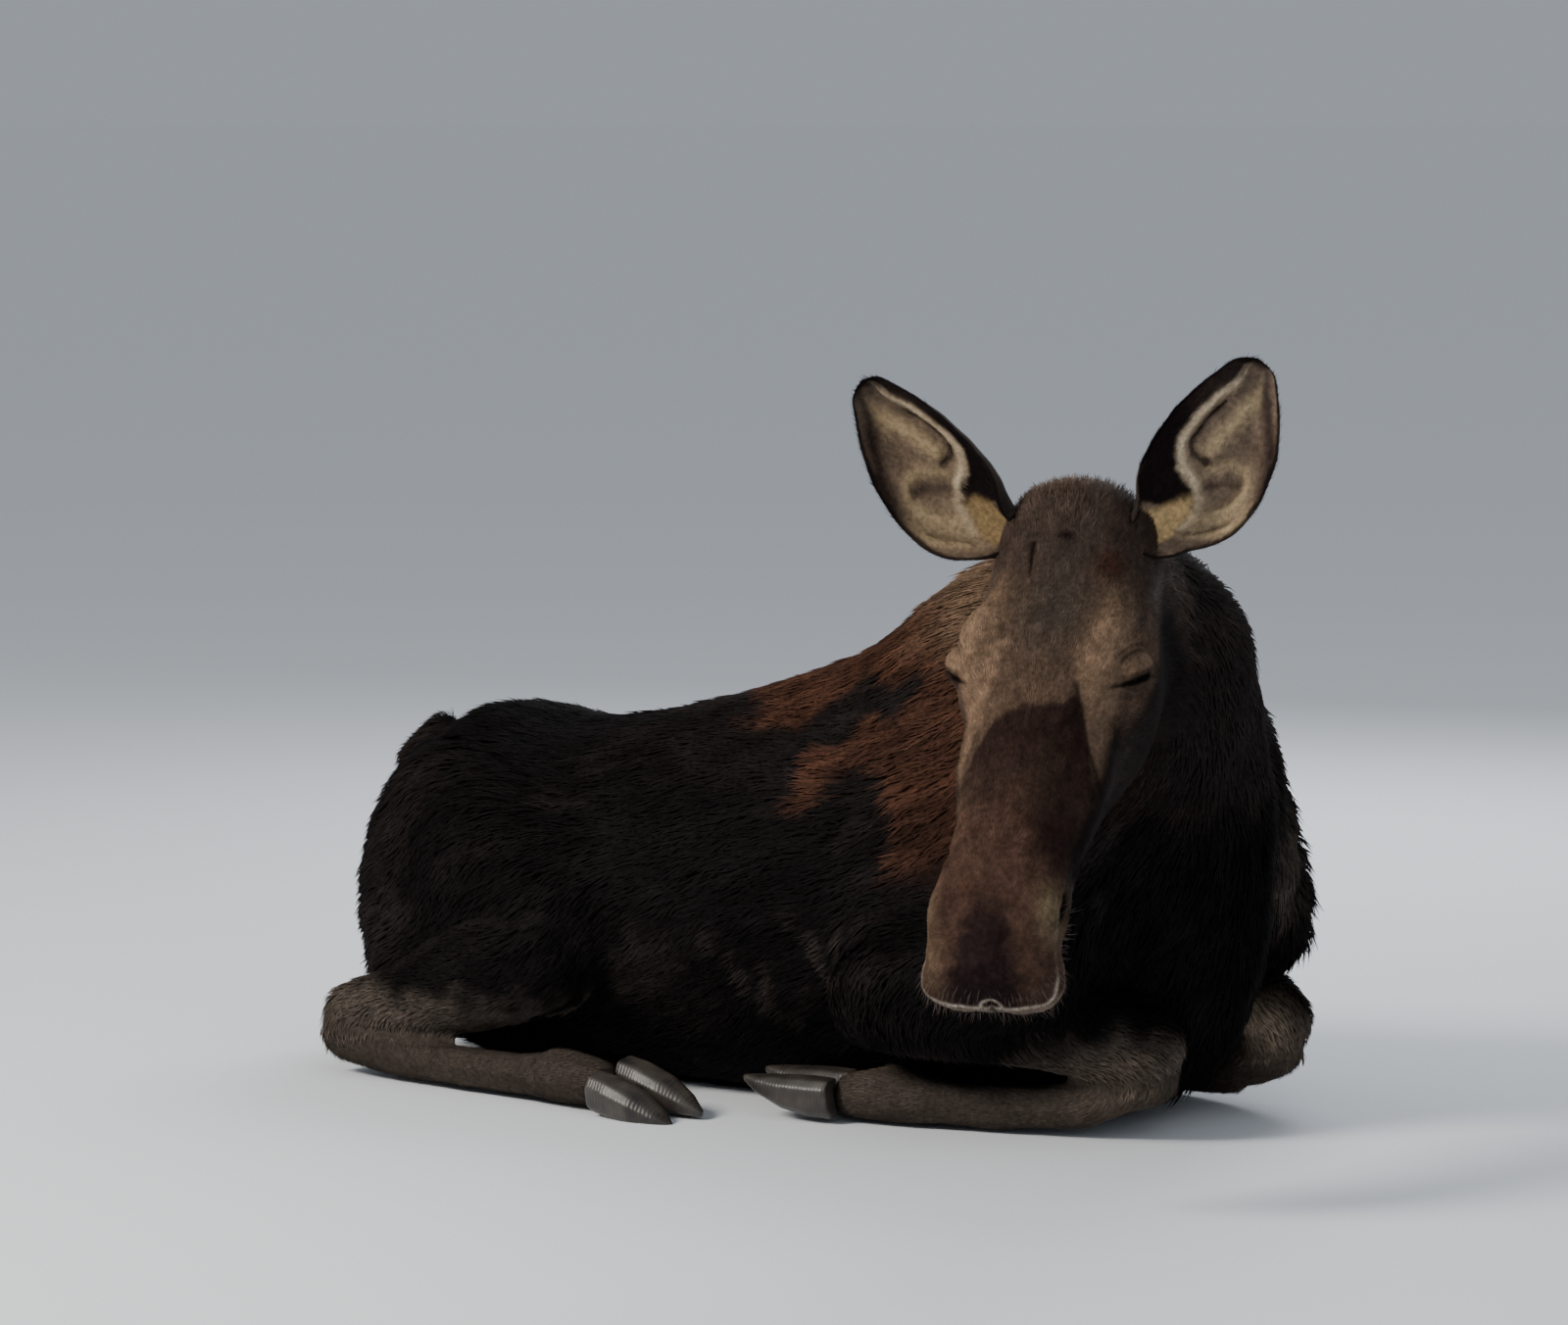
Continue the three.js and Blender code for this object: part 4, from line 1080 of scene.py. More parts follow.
def tuft_mesh(roots, normals, lies, size, rings, rng):
    """Ridged blades that rise from the skin and bend over along it, tip last.

    size holds each blade's length, width and height. Returns points, triangles and, for
    every point, its blade's number and its place across and along the blade.
    """
    n = len(roots)
    length, width, height = (size[:, i][:, None] for i in range(3))
    across = unit(np.cross(normals, lies))
    bend = rng.normal(0, BEND, (n, 1))

    def spine(t):
        at = roots + lies * length * t + across * (bend * length * t**2)
        return at + normals * (height * (1 - (1 - t) ** 2) - SUNK * (t == 0))

    points, places = [], []
    for t, broad in RINGS[rings]:
        half = across * width * 0.5 * broad
        ridge = normals * width * RIDGE * broad
        points += [spine(t) - half, spine(t) + ridge, spine(t) + half]
        places += [(-0.5, t), (0, t), (0.5, t)]
    points.append(spine(1))
    places.append((0, 1))
    faces = []
    for a in range(0, 3 * (rings - 1), 3):
        for k in (a, a + 1):
            faces += [(k, k + 4, k + 1), (k, k + 3, k + 4)]
    per = len(points)
    a, tip = per - 4, per - 1
    faces += [(a, tip, a + 1), (a + 1, tip, a + 2)]
    if rings == 1:
        faces.append((a, a + 2, tip))
    triangles = (np.arange(n)[:, None, None] * per + np.array(faces)[None]).reshape(-1, 3)
    blade = np.repeat(np.arange(n), per)
    places = np.tile(np.array(places, float), (n, 1))
    return np.stack(points, axis=1).reshape(-1, 3), triangles, blade, places


def charts_of(points, normals, parts):
    """Places of points on an unwrap of the skin: each part's faces toward one of six
    directions make a chart, and the charts are laid in rows inside the unit square."""
    each = np.arange(len(points))
    axis = np.abs(normals).argmax(axis=1)
    key = parts * 6 + axis * 2 + (normals[each, axis] > 0)
    flat = np.stack([points[each, (axis + 1) % 3], points[each, (axis + 2) % 3]], axis=1)
    charts = []
    for k in np.unique(key):
        own = key == k
        low, high = flat[own].min(axis=0), flat[own].max(axis=0)
        charts.append((own, low, high - low + 2 * CHART_GAP))
    charts.sort(key=lambda chart: -chart[2][1])
    sizes = np.array([size for _, _, size in charts])
    breadth = max(math.sqrt(sizes.prod(axis=1).sum()) * ROOM, sizes[:, 0].max())
    uv = np.zeros((len(points), 2))
    x = y = row = 0.0
    for own, low, size in charts:
        if x + size[0] > breadth:
            x, y, row = 0.0, y + row, 0.0
        uv[own] = flat[own] - low + CHART_GAP + (x, y)
        x += size[0]
        row = max(row, size[1])
    return uv / max(breadth, y + row)


def coat_piece(name, material, roots, normals, lies, size, rings, colour, uv, rng, slot):
    """One joined mesh of tufts with its colours and its map."""
    points, triangles, blade, places = tuft_mesh(roots, normals, lies, size, rings, rng)
    points[:, 2] = np.maximum(points[:, 2], TUFT_GAP)
    piece = new_object(name, points, triangles, material)
    soft = unit(normals_of(points, triangles) * (1 - SOFT) + normals[blade] * SOFT)
    piece.data.normals_split_custom_set_from_vertices(soft.astype(np.float32))
    tip = EAR_TIP_SHADE if slot == "ear_coat" else TIP_SHADE
    shade = ROOT_SHADE + (tip - ROOT_SHADE) * smoothstep(0, 1, places[:, 1])
    tint = colour * np.exp(rng.normal(0, TINT_SPREAD, (len(roots), 1)))
    give_colour(piece.data, np.clip(tint[blade] * shade[:, None], 0, 1))
    corner = uv[blade] * (1 - 2 * PATCH) + PATCH
    give_map(piece.data, corner + (places - (0, 0.5)) * PATCH)
    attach(piece, "root")


def give_colour(mesh, colour):
    layer = mesh.color_attributes.new("coat", "FLOAT_COLOR", "POINT")
    values = np.ones((len(mesh.vertices), 4), np.float32)
    values[:, :3] = colour
    write(layer.data, "color", values)


def give_map(mesh, places):
    """A UV map that takes each corner's place from its point."""
    layer = mesh.uv_layers.new(name="OFBake")
    corner = read(mesh.loops, "vertex_index", 1)[:, 0]
    write(layer.data, "uv", places[corner])


MUZZLE = 560  # where the finer coat of the muzzle begins, from the poll
TRUNK_LENGTHS = (("shoulder", 0.14, 1), ("ribs", -0.27, 0.15), ("rump", -1, -0.26))
LEG_PIECES = (
    ("thigh", "thigh", 2),
    ("foreleg", "forearm", 2),
    ("hindleg", "shank", 2),
    ("feet", "cannon", 1),
)
OVERLAP = {"face": 1.5, "muzzle": 2, "trunk": 0.004}  # mm, mm and m, so that no seam is bald
BARE_BELOW = 0.006  # the skin has no tufts where it lies on the floor
LID_BARE = 2.2  # how far round the opening of the lids there are none, in mm
SLOTS = {
    "head": "face_coat",
    "muzzle": "face_coat",
    "forearm": "leg_coat",
    "shank": "leg_coat",
    "cannon": "leg_coat",
}
# how far it is over the skin from one leaning of the tufts to the next
CLUMP, FACE_CLUMP = 0.05, 0.018
LEAN, LEAN_SPREAD = 0.14, 0.07  # radians, for whole clumps and from tuft to tuft
SIZE_SPREAD = 0.14
LIFT, LIFT_TONE = 0.18, 0.13  # how much higher and lighter some clumps are


def region_masks(skin_data):
    """The coat pieces: their names, the points they cover, their kind and their rings."""
    kinds = skin_data.kinds
    h = in_head(skin_data.points)
    x, y, _ = skin_data.points.T
    y = y - middle("torso")[1]
    out = []
    for side, k in SIDES.items():
        on_side = h[:, 1] * k > -OVERLAP["face"]
        face = (kinds == "head") & on_side
        before = h[:, 0] < MUZZLE + OVERLAP["muzzle"]
        out.append((f"coat_face_{side}", face & before, "head", 1))
        out.append((f"coat_muzzle_{side}", face & (h[:, 0] > MUZZLE), "muzzle", 1))
        out.append((f"coat_neck_{side}", (kinds == "neck") & on_side, "neck", 3))
        half = (kinds == "torso") & (y * k > -OVERLAP["trunk"])
        for name, low, high in TRUNK_LENGTHS:
            out.append((f"coat_{name}_{side}", half & (x > low) & (x <= high), "torso", 2))
        own = skin_data.left == (k > 0)
        for name, kind, rings in LEG_PIECES:
            out.append((f"coat_{name}_{side}", (kinds == kind) & own, kind, rings))
    out.append(("coat_tail", kinds == "tail", "tail", 2))
    return out


def bare(p, h):
    """Places with no tufts: the eyes' openings, the nostrils, and what lies on the floor."""
    out = (p[:, 2] < BARE_BELOW) | (from_nostril(h, (24, 20, 10)) < 1)
    for centre, axes in EYE_FRAMES:
        x, y, z = ((h - centre) @ axes.T).T
        out |= (lid_opening(x, y) > -LID_BARE) & (np.abs(x) < SLIT + 3) & (z > 5)
    return out


def grow_coat(skin_data, material):
    for number, (name, mask, kind, rings) in enumerate(region_masks(skin_data)):
        rng = np.random.default_rng(SEED + number)
        spacing = COATS[kind][0] * MM
        spots = Roots(skin_data.points, skin_data.triangles, spacing, mask, rng)
        roots = spots.take(skin_data.points)
        keep = ~bare(roots, in_head(roots))
        spots.keep(keep)
        roots, normals = roots[keep], unit(spots.take(skin_data.normals))
        lies, size = square_to(spots.take(skin_data.lies), normals), spots.take(skin_data.size) * MM
        clump = FACE_CLUMP if SLOTS.get(kind) == "face_coat" else CLUMP
        angle = LEAN * waves(roots, clump, 51) + LEAN * waves(roots, clump * 4, 52)
        lies = turned(lies, normals, angle + rng.normal(0, LEAN_SPREAD, len(roots)))
        lift = waves(roots, clump * 1.2, 53)
        size = size * np.exp(rng.normal(0, SIZE_SPREAD, (len(roots), 1)))
        size[:, 2] *= 1 + LIFT * lift
        corner = spots.corners[:, 0]
        seen = roots + lies * size[:, :1] * SEEN
        colour = coat_colour(seen, skin_data.kinds[corner]) * np.exp(LIFT_TONE * lift)[:, None]
        uv = charts_of(roots, normals, skin_data.node[corner])
        slot = SLOTS.get(kind, "body_coat")
        coat_piece(name, material, roots, normals, lies, size, rings, colour, uv, rng, slot)


# ---------- lashes and whiskers ----------
LASHES = 34  # on each upper lid
LASH_OUT = 29.5  # how far out of the eye's centre the middle of their row is
LASH_SIZE, WHISKER_SIZE = (11, 0.7, -2.2), (20, 0.55, -3.0)  # length, width and droop in mm
WHISKER_GAP = 9  # mm


def add_lashes(material, rng):
    """A row of lashes along each upper lid, hanging over the slit."""
    roots, lies, normals = [], [], []
    for centre, axes in EYE_FRAMES:
        x = np.linspace(-SLIT * 0.9, SLIT * 0.95, LASHES)
        edge = UPPER * (1 - (x / SLIT) ** 2) - LID_DROP + 1.2
        at = np.stack([x, edge, np.full(LASHES, LASH_OUT) - 0.006 * x**2], axis=1)
        way = np.stack([0.25 * x / SLIT, np.full(LASHES, -0.62), np.full(LASHES, 0.72)], axis=1)
        roots.append(at @ axes + centre)
        lies.append(way @ axes)
        normals.append(np.tile(axes[1], (LASHES, 1)))
    roots = from_head(np.concatenate(roots))
    lies, normals = (unit(np.concatenate(v) @ HEAD_AXES) for v in (lies, normals))
    normals = square_to(normals, lies)
    size = plain(np.array(LASH_SIZE) * MM, len(roots))
    size[:, 0] *= rng.uniform(0.75, 1.2, len(roots))
    colour = plain(np.array(DARK_LID_EDGE_AND_SHADE) * 1.5, len(roots))
    uv = np.stack([np.linspace(0.02, 0.98, len(roots)), np.full(len(roots), 0.5)], axis=1)
    name, slot = "coat_lashes", "face_coat"
    coat_piece(name, material, roots, normals, lies, size, 2, colour, uv, rng, slot)


def add_whiskers(skin_data, material, rng):
    """Sparse stiff hairs on the lips and the chin."""
    h = in_head(skin_data.points)
    lips = (h[:, 0] > HEAD_LENGTH - 130) & (h[:, 2] < -62) & (skin_data.kinds == "head")
    spots = Roots(skin_data.points, skin_data.triangles, WHISKER_GAP * MM, lips, rng)
    roots, normals = spots.take(skin_data.points), unit(spots.take(skin_data.normals))
    way = unit(spots.take(skin_data.lies) + normals * 0.7 + (0, 0, -0.35))
    across = square_to(normals, way)
    size = plain(np.array(WHISKER_SIZE) * MM, len(roots))
    size[:, 0] *= rng.uniform(0.5, 1.3, len(roots))
    colour = plain(np.array(WING) * 1.2, len(roots))
    uv = charts_of(roots, normals, np.zeros(len(roots), int))
    name, slot = "coat_whiskers", "face_coat"
    coat_piece(name, material, roots, across, way, size, 2, colour, uv, rng, slot)


# ---------- ears ----------
# share of the way to the tip, half width as a share of EAR_WIDTH, half turn in degrees
EAR_ROWS = [
    (0, 0.2, 150),
    (0.1, 0.24, 135),
    (0.2, 0.31, 115),
    (0.3, 0.41, 97),
    (0.42, 0.49, 84),
    (0.58, 0.52, 76),
    (0.74, 0.48, 71),
    (0.86, 0.37, 66),
    (0.95, 0.24, 62),
    (1, 0.15, 60),
]
EAR_LENGTH, EAR_WIDTH = 218, 158
EAR_WALL = (7, 2.4)  # thickness of the sheet at the root and the tip
EAR_FUR = 1.6  # how far the ear's skin lies inside its solid
# each ear's root, where it bends up, which way it leans there, and where its cup opens
EARS = {
    "left": ((26, 76, -56), (0, 138, -54), (-0.8, 0.36, 0.48), (0.45, 0.5, 0.74)),
    "right": ((26, -76, -56), (6, -150, -54), (-0.54, -0.6, 0.58), (0.5, -0.5, 0.7)),
}
EAR_TRIM = {"left": 0.34, "right": 0.08}  # how much narrower the outer wall is near the root
EAR_ALONG, EAR_AROUND = 90, 64  # rows from root to tip, and points across each side
EAR_SPREAD = 0.9  # how wide the sheet is, as a share of its length
EAR_GAP = 2.0  # mm between tufts
EAR_SKIN_SHADE, SKIN_SHADE = 0.8, 0.75  # how dark the skin is painted under its tufts, as painted shade

EAR_BROWN = (0.125, 0.089, 0.063)
# dark margins of the ear, and the colour of the painted shade and shadow in the cup
EAR_DARK = (0.0055, 0.0035, 0.0045)
EAR_BUFF = (0.36, 0.27, 0.155)
EAR_CREAM = (0.44, 0.35, 0.235)
EAR_BASE = (0.2, 0.138, 0.066)
EAR_BACK = (0.05, 0.039, 0.032)
EAR_CUP_PAINTED_LIGHT = {"left": 1.8, "right": 0.95}  # painted light: how much lighter each cup's inside is painted; the left cup, which the lamps barely reach, much lighter
# folds inside the cup: width, height, share and colour, and their way, u across, v along; the dark
# ones are painted shade in the grooves and a painted shadow along the lateral edge
EAR_FOLDS = [
    (0.11, 0, 0.4, EAR_BUFF, [(0.76, 0.36), (0.88, 0.47)]),
    (0.05, 3, 0.8, EAR_BUFF, [(0.5, 0.67), (0.55, 0.78), (0.62, 0.86), (0.74, 0.91)]),
    (
        *(0.028, 3.5, 0.5, EAR_BUFF),
        [(0.56, 0.59), (0.68, 0.66), (0.8, 0.655), (0.86, 0.6), (0.82, 0.5), (0.72, 0.4)],
    ),
    (0.026, 3, 0.45, EAR_BUFF, [(0.94, 0.44), (0.9, 0.36), (0.82, 0.28)]),
    # painted shadow along the cup's lateral edge
    (0.075, 0, 0.85, EAR_DARK, [(0.82, 0.92), (0.88, 0.85), (0.94, 0.74), (0.985, 0.62)]),
    # painted shade in the grooves of the cup
    (0.022, -3.5, 0.45, EAR_DARK, [(0.6, 0.52), (0.7, 0.59), (0.78, 0.6)]),
    (0.016, -2.5, 0.45, EAR_DARK, [(0.88, 0.44), (0.82, 0.37), (0.77, 0.28)]),
    (
        *(0.017, -4, 0.85, EAR_DARK),
        [(0.53, 0.615), (0.43, 0.62), (0.37, 0.665), (0.375, 0.73), (0.39, 0.79), (0.43, 0.845)],
    ),
    (0.03, 3, 0.5, EAR_CREAM, [(0.5, 0.515), (0.62, 0.455), (0.68, 0.3)]),
    (
        *(0.036, 6.5, 0.9, EAR_CREAM),
        [(0.42, 0.93), (0.31, 0.86), (0.285, 0.77), (0.275, 0.68)]
        + [(0.31, 0.6), (0.4, 0.54), (0.52, 0.505)],
    ),
]
# the wall before the ridge, painted dark as the shade in the cup's hollow, and the pale root of the
# cup
EAR_SHADE = [
    *[(0, 0.08), (0.43, 0.3), (0.6, 0.42), (0.53, 0.475), (0.37, 0.515), (0.265, 0.6)],
    *[(0.235, 0.68), (0.245, 0.77), (0.26, 0.85), (0.34, 0.93), (0.3, 1), (-0.1, 1)],
    (-0.1, 0.08),
]
EAR_ROOT = [
    *[(-0.1, 0.03), (0.2, 0.07), (0.3, 0.13), (0.43, 0.25), (0.48, 0.35), (0.52, 0.41)],
    *[(0.57, 0.43), (0.65, 0.32), (0.71, 0.18), (0.64, -0.1), (-0.1, -0.1)],
]


def ear_line(u, v, path):
    return distance_to(u * EAR_SPREAD, v, [(a * EAR_SPREAD, b) for a, b in path])


def ear_folds(u, v):
    """Height of the folds inside the cup, from the medial edge and the root."""
    return sum(height * bell(ear_line(u, v, way), width) for width, height, *_, way in EAR_FOLDS)


def ear_sheet(side):
    """The ear as one closed sheet in head millimetres, with the place of each point on it:
    u across from the medial edge, v from root to tip, and 1 inside the cup."""
    root, bend, lean, opening = (np.array(v, float) for v in EARS[side])
    k = SIDES[side]
    tip = bend + unit(lean) * EAR_LENGTH
    v = np.linspace(0, 1, EAR_ALONG) ** 0.85  # rows lie closer toward the tip
    rows = np.array(EAR_ROWS)
    half, roll = (np.interp(v, rows[:, 0], rows[:, i]) for i in (1, 2))
    for _ in range(12):
        half[1:-1] += 0.5 * ((half[2:] + half[:-2]) / 2 - half[1:-1])
        roll[1:-1] += 0.5 * ((roll[2:] + roll[:-2]) / 2 - roll[1:-1])
    # the tip is round
    half *= np.sqrt(np.clip(1 - ((v - 0.965) / 0.036).clip(0) ** 2, 0.004, 1))
    roll = np.radians(roll)
    w = v[:, None]
    centre = (1 - w) ** 2 * root + 2 * w * (1 - w) * bend + w**2 * tip
    along = unit(2 * (1 - w) * (bend - root) + 2 * w * (tip - bend))
    face = unit(opening - along * (along @ opening)[:, None])
    across = np.cross(along, face)
    across *= np.sign(across[:, 1] * k)[:, None]  # toward the lateral edge
    radius = half * EAR_WIDTH / np.sin(np.minimum(roll, math.pi / 2))
    wall = EAR_WALL[0] + (EAR_WALL[1] - EAR_WALL[0]) * v
    inset = 1 - EAR_FUR / np.maximum(half * EAR_WIDTH, 4)
    u = np.linspace(0, 1, EAR_AROUND)[None]
    points, places = [], []
    for inside, order in enumerate((u, u[:, ::-1])):
        angle = (2 * order - 1) * (roll * inset)[:, None]
        angle = np.where(angle > 0, angle * (1 - EAR_TRIM[side] * bell(w - 0.2, 0.16)), angle)
        thin = 1 - 0.8 * np.abs(2 * order - 1) ** 6  # the sheet thins to its edges
        r = np.maximum(radius[:, None] - EAR_FUR - inside * wall[:, None] * thin, 1)
        folds = ear_folds(*np.broadcast_arrays(order, w)) * inside
        r = r - folds * np.minimum(1, radius / 40)[:, None]
        place = centre[:, None] + across[:, None] * (r * np.sin(angle))[..., None]
        place = place + face[:, None] * (radius[:, None] * 0.55 - r * np.cos(angle))[..., None]
        points.append(place)
        places.append(np.stack([order + 0 * r, w + 0 * r, inside + 0 * r], axis=2))
    points, places = np.concatenate(points, axis=1), np.concatenate(places, axis=1)
    n = points.shape[1]
    row, step = np.arange(EAR_ALONG - 1)[:, None] * n, np.arange(n)[None]
    a, b = (row + step).ravel(), (row + (step + 1) % n).ravel()
    i = np.arange(EAR_AROUND - 1)
    last = (EAR_ALONG - 1) * n
    quads = np.concatenate(
        [
            np.stack([a, b, b + n, a + n], axis=1),
            np.stack([i + 1, i, n - 1 - i, n - 2 - i], axis=1),
            last + np.stack([i, i + 1, n - 2 - i, n - 1 - i], axis=1),
        ]
    )
    if k > 0:
        quads = quads[:, ::-1]
    ways, sideways = (np.repeat(way, n, axis=0) for way in (along, across))
    return points.reshape(-1, 3), quads, places.reshape(-1, 3), ways, sideways


def ear_colour(places, points, side):
    u, v, inside = places.T
    drift, fine = waves(points, 40, 61), waves(points, 12, 62)
    u, v = u + 0.008 * drift, v + 0.006 * fine
    # painted shade on the inner wall before the ridge
    shade = smoothstep(-0.018, 0.012, depth_inside(u, v, EAR_SHADE))
    shade *= 1 - 0.12 * smoothstep(0.7, 0.9, v)
    root = smoothstep(-0.045, 0.025, depth_inside(u + 0.01 * fine, v + 0.01 * fine, EAR_ROOT))
    rim = smoothstep(0.045, 0.015, np.minimum(u, 1 - u)) + smoothstep(0.975, 0.99, v)
    cup = paint(
        plain(EAR_BROWN, len(u)) * np.exp(0.22 * drift + 0.1 * fine)[:, None],
        *[
            (share * bell(ear_line(u, v, way), width), tone)
            for width, _, share, tone, way in EAR_FOLDS
        ],
        (0.5 * smoothstep(0.84, 0.96, v), EAR_BACK),
        (0.98 * shade, EAR_DARK),
        (0.92 * root, np.array(EAR_BASE) * EAR_CUP_PAINTED_LIGHT[side]),
        (0.9 * smoothstep(0.15, 0.03, v), EAR_DARK),
    )
    # painted light: each cup's colours scaled by its painted light
    cup = paint(cup * EAR_CUP_PAINTED_LIGHT[side], (0.9 * rim, EAR_DARK))
    back = paint(
        plain(EAR_BACK, len(u)) * np.exp(0.15 * drift)[:, None],
        (0.5 * smoothstep(0.3, 0.1, v), GRIZZLE),
        (0.7 * smoothstep(0.8, 1, v) + 0.6 * rim, EAR_DARK),
    )
    return np.where(inside[:, None] > 0.5, cup, back)


def ear_tufts(places):
    """How far tufts lean across the ear, and their length, width and height in mm."""
    u, v, inside = places.T
    inside = inside > 0.5
    lean = np.where(inside, 0.55 * bell(u - 0.12, 0.14) - 0.25 * bell(u - 0.95, 0.1), (u - 0.5) / 2)
    edge = bell(np.minimum(u, 1 - u), 0.05)
    length = np.where(inside, 6 + 8 * bell(u - 0.1, 0.13) + 3 * smoothstep(0.35, 0.15, v), 7)
    length = length * (1 - 0.45 * smoothstep(0.8, 1, v)) + 3 * edge
    height = np.where(inside, 2.0, 1.4) + 0.8 * edge
    return lean[:, None], np.stack([length, np.full(len(u), 1.2), height], axis=1)


def add_ear(side, skin_material, fur, rng):
    sheet, quads, places, ways, sideways = ear_sheet(side)
    points = from_head(sheet)
    ear = new_object(f"ear_skin_{side}", points, quads, skin_material)
    give_colour(ear.data, ear_colour(places, sheet, side) * EAR_SKIN_SHADE)
    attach(ear, "root")
    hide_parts(f"ear_{side}")
    triangles = triangles_of(ear.data)
    lean, size = ear_tufts(places)
    lies = unit((ways + sideways * lean) @ HEAD_AXES)
    hairy = (places[:, 1] > 0.1) | (places[:, 2] > 0.5)  # not where its back is in the coat
    spots = Roots(points, triangles, EAR_GAP * MM, hairy, rng)
    roots, normals = spots.take(points), unit(spots.take(normals_of(points, triangles)))
    lies = square_to(spots.take(lies), normals)
    angle = 0.16 * waves(roots, 0.02, 62) + rng.normal(0, 0.12, len(roots))
    lies = turned(lies, normals, angle)
    place = spots.take(places)
    size = spots.take(size) * MM * np.exp(rng.normal(0, 0.15, (len(roots), 1)))
    seen = place + (0, 1, 0) * size[:, :1] / MM / EAR_LENGTH * SEEN
    colour = ear_colour(seen, spots.take(sheet), side)
    # the back of the ear takes the left half of the map and the inside the right half
    across = place[:, 0] * 0.46 + 0.02 + 0.5 * (place[:, 2] > 0.5)
    uv = np.stack([across, place[:, 1] * 0.96 + 0.02], axis=1)
    name, slot = f"coat_ear_{side}", "ear_coat"
    coat_piece(name, fur, roots, normals, lies, size, 1, colour, uv, rng, slot)


# ---------- materials ----------
def node_material(name):
    material = bpy.data.materials.new(name)
    material.use_nodes = True
    tree = material.node_tree
    return material, tree, tree.nodes["Principled BSDF"]


def set_inputs(tree, node, inputs):
    """Sets a node's inputs to values, or links them to outputs of other nodes."""
    for name, value in inputs.items():
        if isinstance(value, bpy.types.NodeSocket):
            tree.links.new(value, node.inputs[name])
        else:
            node.inputs[name].default_value = value
    return node


def add_node(tree, kind, inputs):
    return set_inputs(tree, tree.nodes.new("ShaderNode" + kind), inputs)


def place_on(tree):
    """Where each point is on its own piece."""
    return tree.nodes.new("ShaderNodeTexCoord").outputs["Object"]


def noise(tree, scale, detail):
    inputs = {"Scale": scale, "Detail": detail, "Vector": place_on(tree)}
    return add_node(tree, "TexNoise", inputs).outputs["Fac"]


def ramp(tree, value, stops):
    """A colour that goes from one stop to the other with a value."""
    node = add_node(tree, "ValToRGB", {"Fac": value})
    for element, (position, colour) in zip(node.color_ramp.elements, stops):
        element.position = position
        element.color = (*colour, 1)
    return node.outputs["Color"]


def bump(tree, height, distance):
    return add_node(tree, "Bump", {"Distance": distance, "Height": height}).outputs["Normal"]


def coat_material(name, roughness):
    """The colour painted on the mesh, mottled by noise."""
    material, tree, shader = node_material(name)
    painted = tree.nodes.new("ShaderNodeAttribute")
    painted.attribute_name = "coat"
    span = {"From Min": 0.3, "From Max": 0.7, "To Min": 0.72, "To Max": 1.28}
    share = add_node(tree, "MapRange", {"Value": noise(tree, 160, 3), **span})
    mottle = tree.nodes.new("ShaderNodeMix")
    mottle.data_type = "RGBA"
    mottle.blend_type = "MULTIPLY"
    inputs = {"Factor": 1, "A": painted.outputs["Color"], "B": share.outputs["Result"]}
    set_inputs(tree, mottle, inputs)
    look = {"Base Color": mottle.outputs["Result"], "Roughness": roughness}
    set_inputs(tree, shader, {**look, "Specular IOR Level": 0.02})
    return material


def skin_material():
    material = coat_material("skin", 0.75)
    tree = material.node_tree
    normal = bump(tree, noise(tree, 900, 6), 0.0012)
    set_inputs(tree, tree.nodes["Principled BSDF"], {"Normal": normal})
    return material


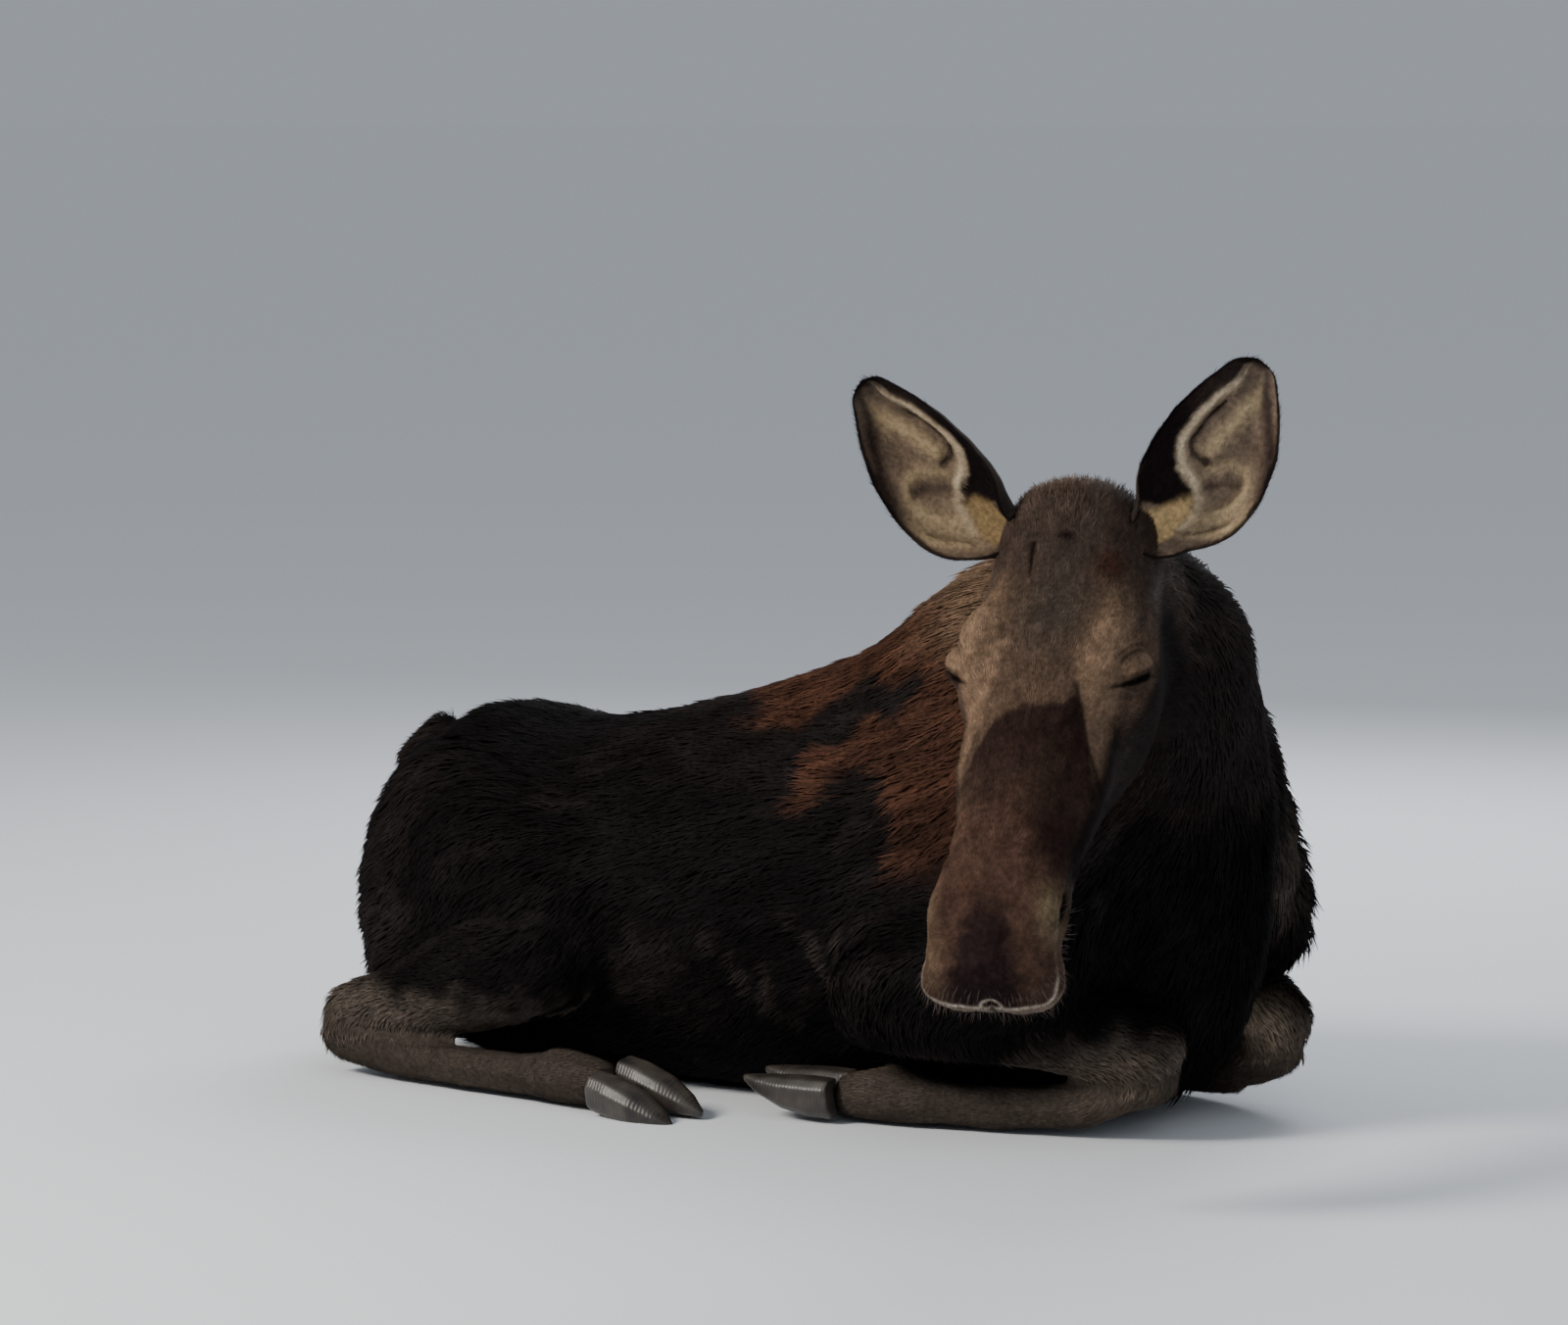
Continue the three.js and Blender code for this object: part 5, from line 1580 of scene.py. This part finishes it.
def horn_material():
    """Dark and matt, with fine rings."""
    material, tree, shader = node_material("horn")
    shape = {"Scale": 60, "Distortion": 3.5, "Detail": 3, "Vector": place_on(tree)}
    rings = add_node(tree, "TexWave", shape)
    rings.bands_direction = "X"
    stops = [(0.3, (0.012, 0.010, 0.009)), (0.75, (0.055, 0.045, 0.037))]
    look = {
        "Base Color": ramp(tree, noise(tree, 34, 5), stops),
        "Normal": bump(tree, rings.outputs["Fac"], 0.00022),
        "Roughness": 0.42,
    }
    set_inputs(tree, shader, look)
    return material


def eye_material():
    """Wet and dark, a little brown toward the light."""
    material, tree, shader = node_material("wet_eye")
    stops = [(0.35, (0.004, 0.003, 0.0025)), (0.75, (0.022, 0.012, 0.007))]
    look = {
        "Base Color": ramp(tree, noise(tree, 260, 4), stops),
        "Roughness": 0.08,
        "Coat Weight": 0.6,
        "Coat Roughness": 0.03,
    }
    set_inputs(tree, shader, look)
    return material


WELD = 0.0001
HOOF_VOXEL = 0.0023
HOOF_EASE = 14  # rounds of smoothing that round the hooves' edges


def dress_nodes():
    """Eyes and hooves keep their solids, rounded, with materials of their own."""
    horn, wet = horn_material(), eye_material()
    for node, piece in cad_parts.items():
        if "hoof" not in node and "eye" not in node:
            continue
        piece.data.materials.clear()
        piece.data.materials.append(horn if "hoof" in node else wet)
        weld = piece.modifiers.new("weld", "WELD")
        weld.merge_threshold = WELD
        if "hoof" in node:
            remesh = piece.modifiers.new("even", "REMESH")
            remesh.mode = "VOXEL"
            remesh.voxel_size = HOOF_VOXEL
            remesh.use_smooth_shade = True
            ease = piece.modifiers.new("ease", "SMOOTH")
            ease.factor = 0.5
            ease.iterations = HOOF_EASE
        else:
            split = piece.modifiers.new("round", "SUBSURF")
            split.levels = split.render_levels = 2


# ---------- making ----------
add_camera()
add_lights()
add_studio()
skin_data = Skin(*build_skin())
skin = placed("skin", skin_data.mesh)
write(skin_data.mesh.polygons, "use_smooth", np.ones(len(skin_data.mesh.polygons)), bool)
hide, fur = skin_material(), coat_material("fur", 0.62)
skin_data.mesh.materials.append(hide)
give_colour(skin_data.mesh, coat_colour(skin_data.points, skin_data.kinds) * SKIN_SHADE)
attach(skin, "root")
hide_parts(*FLESH)
grow_coat(skin_data, fur)
add_lashes(fur, np.random.default_rng(SEED + 40))
add_whiskers(skin_data, fur, np.random.default_rng(SEED + 41))
for number, side in enumerate(SIDES):
    add_ear(side, hide, fur, np.random.default_rng(SEED + 50 + number))
dress_nodes()
